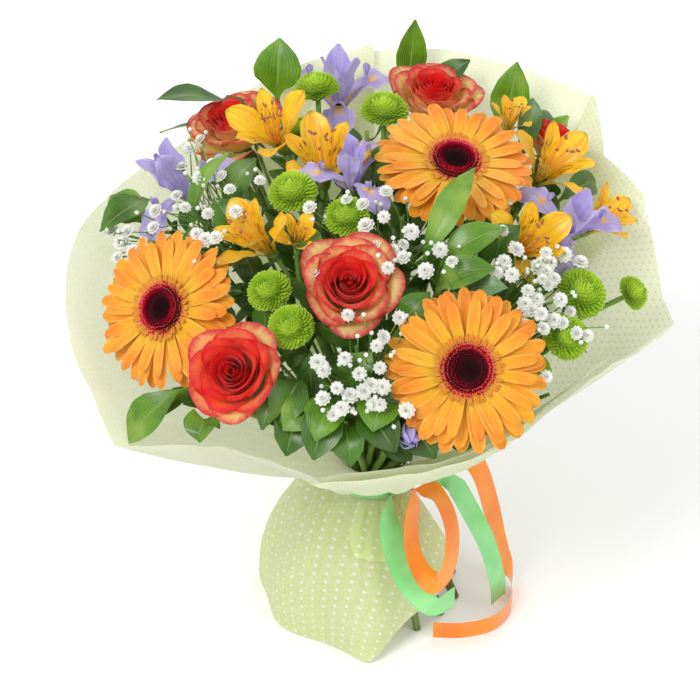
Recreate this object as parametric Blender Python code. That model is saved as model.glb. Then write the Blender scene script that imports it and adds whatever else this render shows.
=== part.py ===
"""A hand-tied flower bouquet in a dotted wrap, standing on its splayed stems.

Lengths below are millimetres and angles degrees; meshes are made in metres.
+X is the viewer's right, -Y faces the viewer, +Z is up, and the stems stand on z = 0.
"""

import math
import random

import bmesh
import bpy
import numpy as np
from mathutils import Vector
from mathutils.bvhtree import BVHTree

MM = 0.001
# Moves the bouquet so that its box is centred over the origin
CENTRING = np.array([2.5, -4.2, 0.0])

# The flowers' heads lie on a low dome that rises towards the back.
DOME_CENTRE_Y = 5.0
DOME_CENTRE_Z = 235.0
DOME_RADIUS = 190.0
DOME_RISE = 110.0
DOME_SLOPE = 0.16

# The stems cross the tie as a spiral and splay on both sides of it.
TIE_Z = 114.0
OPEN_UP = 0.070
OPEN_DOWN = 0.026
SPIRAL_TURN = 0.30
FOOT_LEAN = (9.0, 2.0)
STEM_GAP = 0.3
SWELL = 1.02
STEM_LEVELS = (0.0, 105.0, 123.0, 158.0, 215.0)
STEM_SIDES = 5
# Above this level of its path a stem may move aside for another
FIRST_FREE = 2
FORK_ROUNDS = 12
FORK_GAP = 1.2
FORK_SHARE = 0.6
LONG_FORK = 34.0
SHORT_FORK = 10.0

BLADE = 0.9
# A bent petal or leaf keeps CLEAR from its neighbours, and a seated piece SEAT
CLEAR = 1.5
SEAT = 0.35
BEND_ROUNDS = 10
UNTANGLE_ROUNDS = 14
UNTANGLE_GAP = 0.5
UNTANGLE_STEP = 0.8
# Spots are kept to this many decimals of a millimetre, so that every computer bends the leaves alike
GRAIN = 3

# Binding tape, wrap and ribbons
BAND_SIDES = 18
TAPE_HEIGHT = 14.0
TAPE_THICKNESS = 1.2
WRAP_THICKNESS = 0.9
NECK_HALF = 8.0
LAYER_STEP = 2.0
WRAP_ROOM = 0.84
RIBBON_ROOM = 1.05
RIBBON_WIDTH = 12.0
RIBBON_THICKNESS = 0.9

COLOURS = {
    "gerbera petal": (1.0, 0.36, 0.03, 0.55),
    "gerbera disc": (0.25, 0.005, 0.02, 0.7),
    "stem": (0.13, 0.20, 0.04, 0.6),
    "rose petal": (0.88, 0.12, 0.04, 0.5),
    "pompon": (0.25, 0.50, 0.02, 0.7),
    "alstroemeria": (0.93, 0.45, 0.02, 0.5),
    "iris": (0.32, 0.22, 0.65, 0.5),
    "gypsophila": (0.88, 0.88, 0.80, 0.8),
    "leaf": (0.05, 0.22, 0.02, 0.4),
    "wrap": (0.66, 0.76, 0.38, 0.7),
    "tape": (0.20, 0.35, 0.15, 0.5),
    "green ribbon": (0.25, 0.80, 0.38, 0.35),
    "orange ribbon": (1.0, 0.20, 0.02, 0.35),
}


def aim(azimuth, elevation):
    """A direction: azimuth 0 faces the viewer and 90 the right, and elevation 90 is straight up."""
    a, e = math.radians(azimuth), math.radians(elevation)
    return np.array([math.sin(a) * math.cos(e), -math.cos(a) * math.cos(e), math.sin(e)])


def unit(v):
    v = np.asarray(v, float)
    return v / max(np.linalg.norm(v), 1e-9)


def square_to(axis, hint):
    """The part of hint that is square to axis, as a unit vector."""
    hint = np.asarray(hint, float)
    side = hint - axis * hint.dot(axis)
    if np.linalg.norm(side) < 1e-3:
        side = np.cross(axis, (0.3, 1.0, 0.2))
    return unit(side)


def dome_height(x, y):
    inside = max(0.0, 1 - (x * x + (y - DOME_CENTRE_Y) ** 2) / DOME_RADIUS**2)
    return DOME_CENTRE_Z + DOME_RISE * math.sqrt(inside) + DOME_SLOPE * y


def on_dome(x, y, lift=0.0):
    """The point over x, y that stands lift above the dome."""
    return np.array([x, y, dome_height(x, y) + lift])


def dome_normal(x, y):
    step = 1.0
    dx = (dome_height(x + step, y) - dome_height(x - step, y)) / (2 * step)
    dy = (dome_height(x, y + step) - dome_height(x, y - step)) / (2 * step)
    return unit((-dx, -dy, 1.0))


# Plain shapes, each a pair of points and faces that is one closed solid


def sheet_solid(grid, thickness=BLADE):
    """A thin closed solid on an n by m grid of points, split into triangles alike on both faces."""
    grid = np.asarray(grid, float)
    n, m, _ = grid.shape
    along = np.gradient(grid, axis=0)
    across = np.gradient(grid, axis=1)
    normal = np.cross(along, across)
    normal /= np.maximum(np.linalg.norm(normal, axis=2, keepdims=True), 1e-9)
    half = normal * thickness / 2
    points = np.concatenate([(grid + half).reshape(-1, 3), (grid - half).reshape(-1, 3)])
    low = n * m
    faces = []
    for i in range(n - 1):
        for j in range(m - 1):
            a, b, c, d = i * m + j, (i + 1) * m + j, (i + 1) * m + j + 1, i * m + j + 1
            faces += [(a, b, c), (a, c, d), (low + a, low + c, low + b), (low + a, low + d, low + c)]
    rim = [i * m for i in range(n)] + [(n - 1) * m + j for j in range(1, m)]
    rim += [i * m + m - 1 for i in range(n - 2, -1, -1)] + [j for j in range(m - 2, 0, -1)]
    for a, b in zip(rim, rim[1:] + rim[:1]):
        faces += [(b, a, low + a), (b, low + a, low + b)]
    return points, faces


def ring_solid(rings):
    """A closed solid through rings of points, with flat ends; a ring may have twice the last one's points."""
    starts = np.cumsum([0] + [len(ring) for ring in rings])
    points = np.concatenate([np.asarray(ring, float) for ring in rings])
    faces = []
    for k in range(len(rings) - 1):
        low, high, count, more = starts[k], starts[k + 1], len(rings[k]), len(rings[k + 1])
        for i in range(count):
            after = (i + 1) % count
            if more == count:
                faces += [(low + i, low + after, high + after), (low + i, high + after, high + i)]
                continue
            a, b, c = (2 * i - 1) % more, 2 * i, 2 * i + 1
            faces += [(low + i, high + b, high + a), (low + i, high + c, high + b)]
            faces.append((low + i, low + after, high + c))
    faces += [(0, i + 1, i) for i in range(1, len(rings[0]) - 1)]
    last = starts[-2]
    faces += [(last, last + i, last + i + 1) for i in range(1, len(rings[-1]) - 1)]
    return points, faces


def turned_rings(base, axis, profile, sides, wave=None, across=(1, 0, 0)):
    """Rings round axis: profile lists (height, radius), and wave changes the radius by side and ring."""
    axis = unit(axis)
    across = square_to(axis, across)
    other = np.cross(axis, across)
    rings = []
    for k, (height, radius) in enumerate(profile):
        ring = []
        for i in range(sides):
            a = 2 * math.pi * i / sides
            r = radius * (wave(i, k) if wave else 1.0)
            ring.append(np.asarray(base) + axis * height + (across * math.cos(a) + other * math.sin(a)) * r)
        rings.append(ring)
    return rings


def turned(base, axis, profile, sides, wave=None):
    """A solid of revolution through turned_rings."""
    return ring_solid(turned_rings(base, axis, profile, sides, wave))


def tube_rings(path, radii, sides, flat_start=False):
    """Rings square to a path; flat_start lays the first one level."""
    path = [np.asarray(p, float) for p in path]
    rings = []
    across = None
    for k, point in enumerate(path):
        ahead = unit(path[min(k + 1, len(path) - 1)] - path[max(k - 1, 0)])
        if flat_start and k == 0:
            ahead = np.array([0.0, 0.0, 1.0])
        across = square_to(ahead, across if across is not None else (1, 0, 0))
        other = np.cross(ahead, across)
        turns = [2 * math.pi * i / sides for i in range(sides)]
        rings.append([point + (across * math.cos(a) + other * math.sin(a)) * radii[k] for a in turns])
    return rings


def tube(path, radii, sides=STEM_SIDES, flat_start=False):
    """A tube along path."""
    return ring_solid(tube_rings(path, radii, sides, flat_start))


def blade_grid(root, out, up, length, widths, bend):
    """A two-column blade: it leaves root along out and rises by the angles of bend."""
    out, up = unit(out), unit(up)
    side = np.cross(up, out)
    last = len(widths) - 1
    point = np.asarray(root, float)
    rows = []
    for i, width in enumerate(widths):
        angle = math.radians(bend[0] + (bend[1] - bend[0]) * i / last)
        rows.append([point - side * width / 2, point + side * width / 2])
        point = point + (out * math.cos(angle) + up * math.sin(angle)) * length / last
    return np.array(rows)


def kinds_in_turn(kinds, axis, chance=None):
    """Blades for star() whose kinds, each (widths, length, bend), take turns round the ring."""

    def blade(k, root, out):
        widths, length, bend = kinds[k % len(kinds)]
        stretch = chance.uniform(0.95, 1.04) if chance else 1.0
        return blade_grid(root, out, axis, length * stretch, widths, bend)

    return blade


class Star:
    """A closed solid of blades that share the corners of one small ring.

    blade(k, root, out) gives the grid of blade k, whose first row the shared corners replace.
    The ring's points come first: those on top, then those below.
    """

    def __init__(self, centre, axis, ring, blade, count, phase=0.0, columns=2, slope=0.0, crowd=None):
        axis = unit(axis)
        side = square_to(axis, (1, 0, 0))
        other = np.cross(axis, side)
        centre = np.asarray(centre, float)
        self.wide = columns - 1
        self.steps = count * self.wide

        def radial(step):
            angle = 2 * math.pi * (step + phase) / count
            return side * math.cos(angle) + other * math.sin(angle)

        ways = [radial(step / self.wide - 0.5) for step in range(self.steps)]
        tilt = math.radians(slope)
        lifts = [(axis * math.cos(tilt) - way * math.sin(tilt)) * BLADE / 2 for way in ways]
        corners = [centre + way * ring for way in ways]
        self.start_way = ways[0]
        self.points = [p + n for p, n in zip(corners, lifts)] + [p - n for p, n in zip(corners, lifts)]
        self.faces = []
        for k in range(count):
            grid = blade(k, centre + radial(k) * ring * math.cos(math.pi / count), radial(k))
            spots = [(k * self.wide + j) % self.steps for j in range(columns)]
            grid[0] = [corners[spot] for spot in spots]
            if crowd:
                grid = bent_clear(grid, crowd)
            self.add_blade(grid, spots)
        self.centre, self.axis = centre, axis

    def add_blade(self, grid, spots):
        normal = np.cross(np.gradient(grid, axis=0), np.gradient(grid, axis=1))
        normal *= BLADE / 2 / np.maximum(np.linalg.norm(normal, axis=2, keepdims=True), 1e-9)
        top, low = spots, [self.steps + spot for spot in spots]
        last = self.wide
        for row, lift in zip(grid[1:], normal[1:]):
            first = len(self.points)
            self.points += list(row + lift) + list(row - lift)
            new_top = list(range(first, first + last + 1))
            new_low = list(range(first + last + 1, first + 2 * last + 2))
            for j in range(last):
                self.faces += [(top[j], new_top[j], new_top[j + 1]), (top[j], new_top[j + 1], top[j + 1])]
                self.faces += [(low[j], new_low[j + 1], new_low[j]), (low[j], low[j + 1], new_low[j + 1])]
            self.faces += [(top[0], low[0], new_low[0]), (top[0], new_low[0], new_top[0])]
            self.faces += [(top[last], new_top[last], new_low[last]), (top[last], new_low[last], low[last])]
            top, low = new_top, new_low
        for j in range(last):
            self.faces += [(top[j], low[j], low[j + 1]), (top[j], low[j + 1], top[j + 1])]

    def close_top(self):
        self.points.append(self.centre + self.axis * BLADE / 2)
        middle = len(self.points) - 1
        self.faces += [(middle, k, (k + 1) % self.steps) for k in range(self.steps)]

    def wall(self, high, low):
        """The wall from the ring whose points start at high down to the one that starts at low."""
        for k in range(self.steps):
            after = (k + 1) % self.steps
            self.faces += [(high + k, low + k, low + after), (high + k, low + after, high + after)]

    def close_below(self):
        self.points.append(self.centre - self.axis * BLADE / 2)
        middle = len(self.points) - 1
        self.faces += [(middle, self.steps + (k + 1) % self.steps, self.steps + k) for k in range(self.steps)]

    def stalk(self, path, radii, flat_end=False):
        """Closes the star below with a stalk down along path."""
        across = self.start_way
        high = self.steps
        for k, point in enumerate(path):
            up = unit(path[max(k - 1, 0)] - path[min(k + 1, len(path) - 1)]) if len(path) > 1 else self.axis
            if flat_end and k == len(path) - 1:
                up = np.array([0.0, 0.0, 1.0])
            across = square_to(up, across)
            other = np.cross(up, across)
            low = len(self.points)
            for i in range(self.steps):
                a = 2 * math.pi * i / self.steps
                self.points.append(point + (across * math.cos(a) + other * math.sin(a)) * radii[k])
            self.wall(high, low)
            high = low
        self.faces += [(high, high + i + 1, high + i) for i in range(1, self.steps - 1)]

    def over(self, lower):
        """Joins this star by a wall to a second one of as many steps under it."""
        start = len(self.points)
        self.points += lower.points
        self.faces += [tuple(i + start for i in face) for face in lower.faces]
        self.wall(self.steps, start)

    def solid(self):
        self.close_top()
        return np.array(self.points), self.faces


class Crowd:
    """The bouquet so far, which new leaves and petals are bent clear of."""

    def __init__(self):
        self.solids = {}
        self.tree = None
        self.faces = []

    def add(self, name, shape):
        points, faces = shape
        self.solids.setdefault(name, []).append((np.round(points, GRAIN), faces))

    def look_past(self, own):
        """Rebuilds the search tree without the named piece's own solids."""
        points, faces, count = [], [], 0
        for name, shapes in self.solids.items():
            if name == own:
                continue
            for shape_points, shape_faces in shapes:
                points.extend(Vector(p) for p in shape_points)
                faces.extend(tuple(i + count for i in face) for face in shape_faces)
                count += len(shape_points)
        self.tree = BVHTree.FromPolygons(points, faces)
        spots = np.array(points)
        a, b, c = (spots[[face[k] for face in faces]] for k in range(3))
        normals = np.cross(b - a, c - a)
        normals /= np.maximum(np.linalg.norm(normals, axis=1, keepdims=True), 1e-9)
        self.faces = list(zip((a + b + c) / 3, normals))

    def pushed(self, point, gap):
        """The point, moved out of any solid and at least gap from it."""
        place, normal, _, distance = self.tree.find_nearest(Vector(point))
        place, normal = np.array(place), np.array(normal)
        away = point - place
        if away.dot(normal) < 0:
            return np.round(place + normal * gap, GRAIN)
        if distance >= gap:
            return point
        return np.round(place + (unit(away) if distance > 1e-3 else normal) * gap, GRAIN)

    def stopped(self, start, point, gap):
        """The point, held on start's side of whatever solid lies between them."""
        line = point - start
        reach = np.linalg.norm(line)
        if reach < 1e-6:
            return point
        place, normal, _, _ = self.tree.ray_cast(Vector(start), Vector(line / reach), reach + gap)
        if place is None:
            return point
        place, normal = np.array(place), np.array(normal)
        if line.dot(normal) > 0:
            return point
        depth = (point - place).dot(normal)
        return np.round(point + normal * max(0.0, gap - depth), GRAIN)

    def open_line(self, start, end):
        line = Vector(end - start)
        return self.tree.ray_cast(Vector(start), line.normalized(), line.length)[0] is None

    def crossed(self, shape):
        """Pairs of a face of shape and the middle and normal of a face of the crowd that crosses it."""
        points, faces = shape
        own = BVHTree.FromPolygons([Vector(p) for p in points], faces)
        return [(mine, *self.faces[other]) for mine, other in sorted(own.overlap(self.tree))]

    def room(self, point):
        """How far the point is from the nearest solid, negative inside one."""
        place, normal, _, distance = self.tree.find_nearest(Vector(point))
        inside = (np.asarray(point) - np.array(place)).dot(np.array(normal)) < 0
        return -distance if inside else distance


def bent_clear(grid, crowd, fixed=1, gap=CLEAR):
    """A blade's grid bent until it crosses nothing that already stands in the bouquet."""
    grid = np.round(np.array(grid, float), GRAIN)
    n, m, _ = grid.shape
    middle = (m - 1) / 2
    order = sorted(range(m), key=lambda j: abs(j - middle))
    for _ in range(BEND_ROUNDS):
        before = grid.copy()
        for i in range(fixed, n):
            for j in order:
                point = crowd.stopped(grid[i - 1, j], grid[i, j], gap)
                inner = order[0] if j != order[0] else None
                if inner is not None:
                    point = crowd.stopped(grid[i, inner], point, gap)
                grid[i, j] = crowd.pushed(point, gap)
        for i in range(fixed, n):
            for j in range(m - 1):
                cell = [(i - 1, j), (i, j), (i, j + 1), (i - 1, j + 1)]
                for pair in ((0, 1, 2, 3), (0, 1), (1, 2), (0, 2), (1, 3)):
                    spot = np.round(np.mean([grid[cell[k]] for k in pair], axis=0), GRAIN)
                    move = crowd.pushed(spot, gap) - spot
                    if np.abs(move).max() > 0:
                        for k in pair:
                            if cell[k][0] >= fixed:
                                grid[cell[k]] += move
        if np.abs(grid - before).max() < 0.05:
            break
    for _ in range(UNTANGLE_ROUNDS):
        if not untangle(grid, crowd, fixed):
            break
    return grid


def untangle(grid, crowd, fixed):
    """Moves the cells that still cross something back to the side that the blade comes from."""
    n, m, _ = grid.shape
    hits = crowd.crossed(sheet_solid(grid, BLADE + UNTANGLE_GAP))
    moves = np.zeros_like(grid)
    for face, spot, normal in hits:
        i, j = divmod(face // 4, m - 1)
        if i >= n - 1 or i + 1 < fixed:
            continue
        behind = (grid[i, j] + grid[i, j + 1]) / 2 - spot
        way = normal if behind.dot(normal) > 0 else -normal
        for cell in ((i, j), (i, j + 1), (i + 1, j), (i + 1, j + 1)):
            if cell[0] >= fixed and np.linalg.norm(moves[cell]) < UNTANGLE_STEP:
                moves[cell] += way * UNTANGLE_STEP / 2
    grid += np.round(moves, GRAIN)
    return np.abs(moves).max() > 0


# Objects


def material(name):
    found = bpy.data.materials.get(name)
    if found:
        return found
    red, green, blue, rough = COLOURS[name]
    made = bpy.data.materials.new(name)
    made.use_nodes = True
    shader = made.node_tree.nodes["Principled BSDF"]
    shader.inputs["Base Color"].default_value = (red, green, blue, 1)
    shader.inputs["Roughness"].default_value = rough
    shader.inputs["Metallic"].default_value = 0.0
    made.diffuse_color = (red, green, blue, 1)
    return made


def mesh_object(name, shape, finish, collection):
    points, faces = shape
    data = bpy.data.meshes.new(name)
    data.from_pydata([tuple((p + CENTRING) * MM) for p in points], [], faces)
    data.materials.append(material(finish))
    made = bpy.data.objects.new(name, data)
    collection.objects.link(made)
    return made


def fuse(name, shapes, finish):
    """One node from shapes that grow into each other, joined by a single Boolean union."""
    scene = bpy.context.scene.collection
    node = mesh_object(name, shapes[0], finish, scene)
    if len(shapes) > 1:
        repeats = bpy.data.collections.new(name + " repeats")
        scene.children.link(repeats)
        for k, shape in enumerate(shapes[1:]):
            mesh_object(f"{name}-{k}", shape, finish, repeats)
        join = node.modifiers.new("join", "BOOLEAN")
        join.operation = "UNION"
        join.operand_type = "COLLECTION"
        join.collection = repeats
        join.solver = "MANIFOLD"
        bpy.context.view_layer.update()
        graph = bpy.context.evaluated_depsgraph_get()
        joined = bpy.data.meshes.new_from_object(node.evaluated_get(graph))
        node.modifiers.clear()
        unjoined = node.data
        node.data = joined
        bpy.data.meshes.remove(unjoined)
        joined.name = name
        for repeat in list(repeats.objects):
            data = repeat.data
            bpy.data.objects.remove(repeat)
            bpy.data.meshes.remove(data)
        bpy.data.collections.remove(repeats)
    node.data.shade_smooth()
    node.data.set_sharp_from_angle(angle=math.radians(35))
    return node


# Stems


class Stem:
    """One stem from the floor through the tie to the end where its flower sits, facing along facing."""

    def __init__(self, node, end, facing, radius, straight=LONG_FORK):
        self.node = node
        self.end = np.round(end, GRAIN)
        self.facing = unit(facing)
        self.radius = radius
        inward = unit(self.end - (0, 0, TIE_Z))
        self.fork = np.round(self.end - (self.facing + inward) * straight * FORK_SHARE, GRAIN)
        self.path = []


def spread(z):
    open_rate = OPEN_UP if z > TIE_Z else OPEN_DOWN
    return math.sqrt(1 + (open_rate * (z - TIE_Z)) ** 2)


def bundle_to_space(spot, z):
    """Where a stem that crosses the tie at spot is at height z."""
    open_rate = OPEN_UP if z > TIE_Z else OPEN_DOWN
    turn = SPIRAL_TURN * math.atan(open_rate * (z - TIE_Z))
    lean = max(0.0, (TIE_Z - z) / TIE_Z)
    c, s = math.cos(turn), math.sin(turn)
    x = spread(z) * (c * spot[0] - s * spot[1]) + FOOT_LEAN[0] * lean
    y = spread(z) * (s * spot[0] + c * spot[1]) + FOOT_LEAN[1] * lean
    return np.array([x, y])


def space_to_bundle(x, y, z):
    """Where a stem that passes x, y at height z above the tie crosses the tie."""
    turn = -SPIRAL_TURN * math.atan(OPEN_UP * (z - TIE_Z))
    c, s = math.cos(turn), math.sin(turn)
    return np.array([c * x - s * y, s * x + c * y]) / spread(z)


def apart(spots, radii, pull, rounds):
    """Spots moved until no two circles overlap; pull draws them to the middle meanwhile."""
    for turn in range(rounds):
        if turn < rounds * 0.8:
            spots = spots * (1 - pull)
        for i in range(len(spots)):
            for j in range(i):
                line = spots[i] - spots[j]
                distance = max(np.linalg.norm(line), 1e-6)
                short = radii[i] + radii[j] + STEM_GAP - distance
                if short > 0:
                    spots[i] += line / distance * short / 2
                    spots[j] -= line / distance * short / 2
        spots = np.round(spots, GRAIN)
    return spots


def lay_stems(stems):
    """Gives every stem its path, so that the bundle is tight at the tie and no two stems cross."""
    wide = np.array([stem.radius * SWELL for stem in stems])
    aims = np.array([space_to_bundle(*stem.fork) for stem in stems])
    tied = apart(aims.copy(), wide, 0.02, 160)
    for k, z in enumerate(STEM_LEVELS):
        going = [i for i, stem in enumerate(stems) if stem.fork[2] - 14 > z]
        share = min(1.0, max(0.0, (z - TIE_Z) / 90))
        share = share * share * (3 - 2 * share)
        spots = [bundle_to_space(tied[i] * (1 - share) + aims[i] * share, z) for i in going]
        if abs(z - TIE_Z) > TAPE_HEIGHT:
            spots = apart(np.array(spots), wide[going], 0.0, 40)
        for i, spot in zip(going, spots):
            stems[i].path.append(np.round(np.array([spot[0], spot[1], z]), GRAIN))
    for stem in stems:
        stem.path += [stem.fork, stem.end]
    for _ in range(FORK_ROUNDS):
        part_forks(stems)
    for stem in stems:
        stem.fork = stem.path[-2]
        stem.path.pop()
    return wide


def nearest_on_lines(a, b, c, d):
    """The shares along a-b and c-d where the two stretches come nearest to each other."""
    u, v, w = b - a, d - c, a - c
    uu, uv, vv, uw, vw = u.dot(u), u.dot(v), v.dot(v), u.dot(w), v.dot(w)
    bottom = max(uu * vv - uv * uv, 1e-9)
    s = min(1.0, max(0.0, (uv * vw - vv * uw) / bottom))
    t = min(1.0, max(0.0, (uv * s + vw) / max(vv, 1e-9)))
    s = min(1.0, max(0.0, (uv * t - uw) / max(uu, 1e-9)))
    return s, t


def part_forks(stems):
    """One round that moves the stretches above the tie apart where two stems pass too near."""
    for i, one in enumerate(stems):
        for two in stems[:i]:
            need = one.radius + two.radius + FORK_GAP
            for p in range(FIRST_FREE, len(one.path) - 1):
                for q in range(FIRST_FREE, len(two.path) - 1):
                    a, b, c, d = one.path[p], one.path[p + 1], two.path[q], two.path[q + 1]
                    s, t = nearest_on_lines(a, b, c, d)
                    line = a + (b - a) * s - c - (d - c) * t
                    distance = np.linalg.norm(line)
                    if distance >= need or (p == q == FIRST_FREE and s == t == 0):
                        continue
                    move = np.round(unit(line + (1e-3, 0, 0)) * (need - distance) / 2, GRAIN)
                    for stem, k, share, way in ((one, p, s, 1), (two, q, t, -1)):
                        if k > FIRST_FREE:
                            stem.path[k] = np.round(stem.path[k] + move * way * (1 - share), GRAIN)
                        if k + 1 < len(stem.path) - 1:
                            stem.path[k + 1] = np.round(stem.path[k + 1] + move * way * share, GRAIN)


def stem_shape(stem, flare=()):
    """The stem's tube; flare lists (distance along facing from the end, radius) of its widened top."""
    path = list(stem.path)
    radii = [stem.radius] * len(path)
    ends = flare or ((0.0, stem.radius),)
    for distance, radius in ends:
        path.append(stem.end + stem.facing * distance)
        radii.append(radius)
    return tube(path, radii, flat_start=True)


# Gerberas: (name, x, y, lift above the dome, facing azimuth, facing elevation, roll)

GERBERAS = (
    ("left", -135, -66, -1, -40, 37, 0),
    ("right", 55, -134, 8, 5, 42, 8),
    ("top", 51, 9, 10, 15, 71, 4),
)
GERBERA_STEM = 3.2
GERBERA_RADIUS = 52.0
GERBERA_RING = 10.0
GERBERA_DISC = 14.8
GERBERA_CUP = ((-16.0, 3.2), (-10.0, 6.0), (-2.7, 9.6))
GERBERA_PETALS = 15
ROLL_STEP = 40.0
GERBERA_RINGS = (
    # level, widths from root to tip, bend, reach
    (0.6, (3.6, 9.0, 13.0, 5.0), (12, -8), 1.0),
    (-1.9, (4.0, 11.2, 7.0), (4, -16), 0.97),
)
GERBERA_DISC_PROFILE = ((1.5, 9.0), (3.4, GERBERA_DISC), (6.3, 12.4), (6.2, 8.0), (4.9, 3.0))


def gerbera_petals(place, facing, roll):
    """Two rings of ray petals, the back one half a step round and drooping more."""
    chance = random.Random(11 + roll)
    stars = []
    for level, widths, bend, reach in GERBERA_RINGS:
        blade = kinds_in_turn(((widths, GERBERA_RADIUS * reach - GERBERA_RING, bend),), facing, chance)
        phase = roll / ROLL_STEP + 0.5 * len(stars)
        hub = place + facing * level
        stars.append(Star(hub, facing, GERBERA_RING, blade, GERBERA_PETALS, phase, slope=bend[0]))
    front, back = stars
    back.close_below()
    front.over(back)
    return [front.solid()]


def gerbera_disc(place, facing):
    """A cushion of small florets, raised at the rim and hollowed in the middle."""
    return turned(place, facing, GERBERA_DISC_PROFILE, 12, lambda i, k: 1.0 if (i + k) % 2 else 0.9)


# Roses: (name, x, y, lift, facing azimuth, facing elevation, size, how far the outer petals open)

ROSES = (
    ("centre", -18, -90, 8, 5, 52, 1.0, 1.0),
    ("left", -88, -127, 7, -18, 44, 0.98, 0.9),
    ("back_left", -98, 105, 0, -70, 72, 1.0, 1.3),
    ("back", 41, 124, 1, 40, 80, 1.0, 1.1),
    ("far_right", 122, 88, 4, 100, 64, 0.72, 0.9),
)
ROSE_STEM = 3.4
# From the middle of a bloom down to the top of its hip
ROSE_DEPTH = 20.4
ROSE_RING = 17.5
ROSE_RING_LEVEL = 5.0
ROSE_NECK = 6.0
ROSE_HEART = ((4, 2.4), (30, 1.8))
# The wound petals: turns and columns, then for each row its height and its share of the radius
ROSE_TURNS = 2.1
ROSE_COLUMNS = 12
ROSE_WOUND = ((4.9, 0.80), (20.0, 1.06), (34.0, 0.98))
ROSE_WOUND_RADII = (4.4, 18.0)
ROSE_LIP_DROP = 3.0
ROSE_LIP_WAVE = 2.6
# The open petals: for each row its half angle, height, radius and how far its edges stand in and out
ROSE_PETALS = 5
ROSE_OPEN = ((36, 5, 17.5, 0.0), (35.4, 13, 24.5, 1.6), (50, 27, 30, 3.2), (29, 31.5, 34, 2.6))
ROSE_DROP = 18.0
ROSE_PHASE = 0.2
ROSE_SLOPE = 48.0


def rose_wound(base, side, other, facing, size):
    """The heart's petals, wound outwards as one wall whose lip rises and falls with each petal."""
    low, high = ROSE_WOUND_RADII
    rows = []
    for height, share in ROSE_WOUND:
        row = []
        for k in range(ROSE_COLUMNS):
            u = k / (ROSE_COLUMNS - 1)
            angle = 2 * math.pi * ROSE_TURNS * u
            r = (low + (high - low) * u) * share
            lip = height / ROSE_WOUND[-1][0]
            up = height - lip * (ROSE_LIP_DROP * u + ROSE_LIP_WAVE * (k % 2))
            row.append(base + (facing * up + (side * math.cos(angle) + other * math.sin(angle)) * r) * size)
        rows.append(row)
    return np.array(rows)


def rose_open(base, facing, size, spread_by):
    """Open petals for Star, each with its left edge inside the next one and its right edge outside."""

    def blade(k, root, out):
        across = np.cross(facing, out)
        rows = []
        for row, (half, height, radius, pin) in enumerate(ROSE_OPEN):
            t = row / (len(ROSE_OPEN) - 1)
            opened = 1 + (spread_by - 1) * t
            up = height - (opened - 1) * ROSE_DROP * t
            spots = []
            for s in (-1, 0, 1):
                angle = math.radians(half) * s
                r = radius * opened + pin * s
                way = out * math.cos(angle) + across * math.sin(angle)
                spots.append(base + (facing * up + way * r) * size)
            rows.append(spots)
        return np.array(rows)

    return blade


def rose_bloom(base, facing, size, spread_by):
    """The ring of open petals round the wound ones, which stand on a small heart."""
    side = square_to(facing, (1, 0, 0))
    other = np.cross(facing, side)
    blade = rose_open(base, facing, size, spread_by)
    level = base + facing * ROSE_RING_LEVEL * size
    outer = Star(level, facing, ROSE_RING * size, blade, ROSE_PETALS, ROSE_PHASE, columns=3, slope=ROSE_SLOPE)
    outer.stalk([base], [ROSE_NECK * size])
    heart = tuple((h * size, r * size) for h, r in ROSE_HEART)
    wound = sheet_solid(rose_wound(base, side, other, facing, size))
    return [outer.solid(), turned(base, facing, heart, 5), wound]


# A sepal's widths, length and bend; the hip's (distance along the stem, radius)
SEPAL = ((6, 1.8), 16.0, (-45, -45))
SEPAL_RING = 5.0
SEPAL_PHASE = 0.3
HIP = ((-7.0, 6.0), (-12.0, 3.4))


def rose_stem(stem, facing, size):
    """The rose's stem with its hip and five sepals that hang from it."""
    widths, length, bend = SEPAL
    top = stem.end - facing * (BLADE / 2 + SEAT)
    blade = kinds_in_turn(((widths, length * size, bend),), facing)
    green = Star(top, facing, SEPAL_RING * size, blade, STEM_SIDES, SEPAL_PHASE, slope=bend[0])
    path = [stem.end + facing * distance * size for distance, _ in HIP] + stem.path[::-1]
    green.stalk(path, [radius * size for _, radius in HIP] + [stem.radius] * len(stem.path), flat_end=True)
    return green.solid()


# Button chrysanthemums: spray, then its heads as (x, y, lift, radius)

POMPON_SPRAYS = (
    ("back_left", ((-40, 106, 12, 17), (-50, 80, -8, 12))),
    ("back", ((6, 70, 8, 17.5),)),
    ("centre", ((-54, -10, 4, 17), (-19, -36, 4, 15.5))),
    ("left", ((-68, -76, -4, 15), (-54, -105, 0, 15.5))),
    ("right", ((131, -60, 2, 18), (168, -28, -2, 12.5))),
    ("low_right", ((119, -92, 1, 16.5), (99, -108, -14, 12))),
)
POMPON_FLAT = 0.66
SPRAY_STEM = 2.6
BRANCH_RADIUS = 1.8
# A branch starts this far below its stem's end and dips this far half-way
BRANCH_START = 3.0
BRANCH_DIP = 4.0
POMPON_BELOW = 44.0
POMPON_PROFILE = ((-0.62, 0.45), (-0.25, 0.97), (0.25, 0.98), (0.60, 0.58), (0.52, 0.16))
POMPON_QUILL = 0.86


def headed(path, radius, sides, facing, profile, wave):
    """A thin branch along path that grows into a turned head of twice as many sides at its end."""
    neck = path[-1] + unit(facing) * (profile[0][0] - radius)
    rings = tube_rings(path[:-1] + [neck], [radius] * len(path), sides)
    across = rings[-1][0] - neck
    return ring_solid(rings + turned_rings(path[-1], facing, profile, 2 * sides, wave, across))


def pompon(path, facing, radius):
    """A flattened head whose florets stand out in staggered rows, with a dimple on top."""
    profile = tuple((h * radius, r * radius) for h, r in POMPON_PROFILE)
    quilled = lambda i, k: 1.0 if (i + k) % 2 else POMPON_QUILL
    return headed(path, BRANCH_RADIUS, STEM_SIDES, facing, profile, quilled)


# Alstroemerias: spray, then its blooms as (x, y, lift, azimuth, elevation, size)

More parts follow.
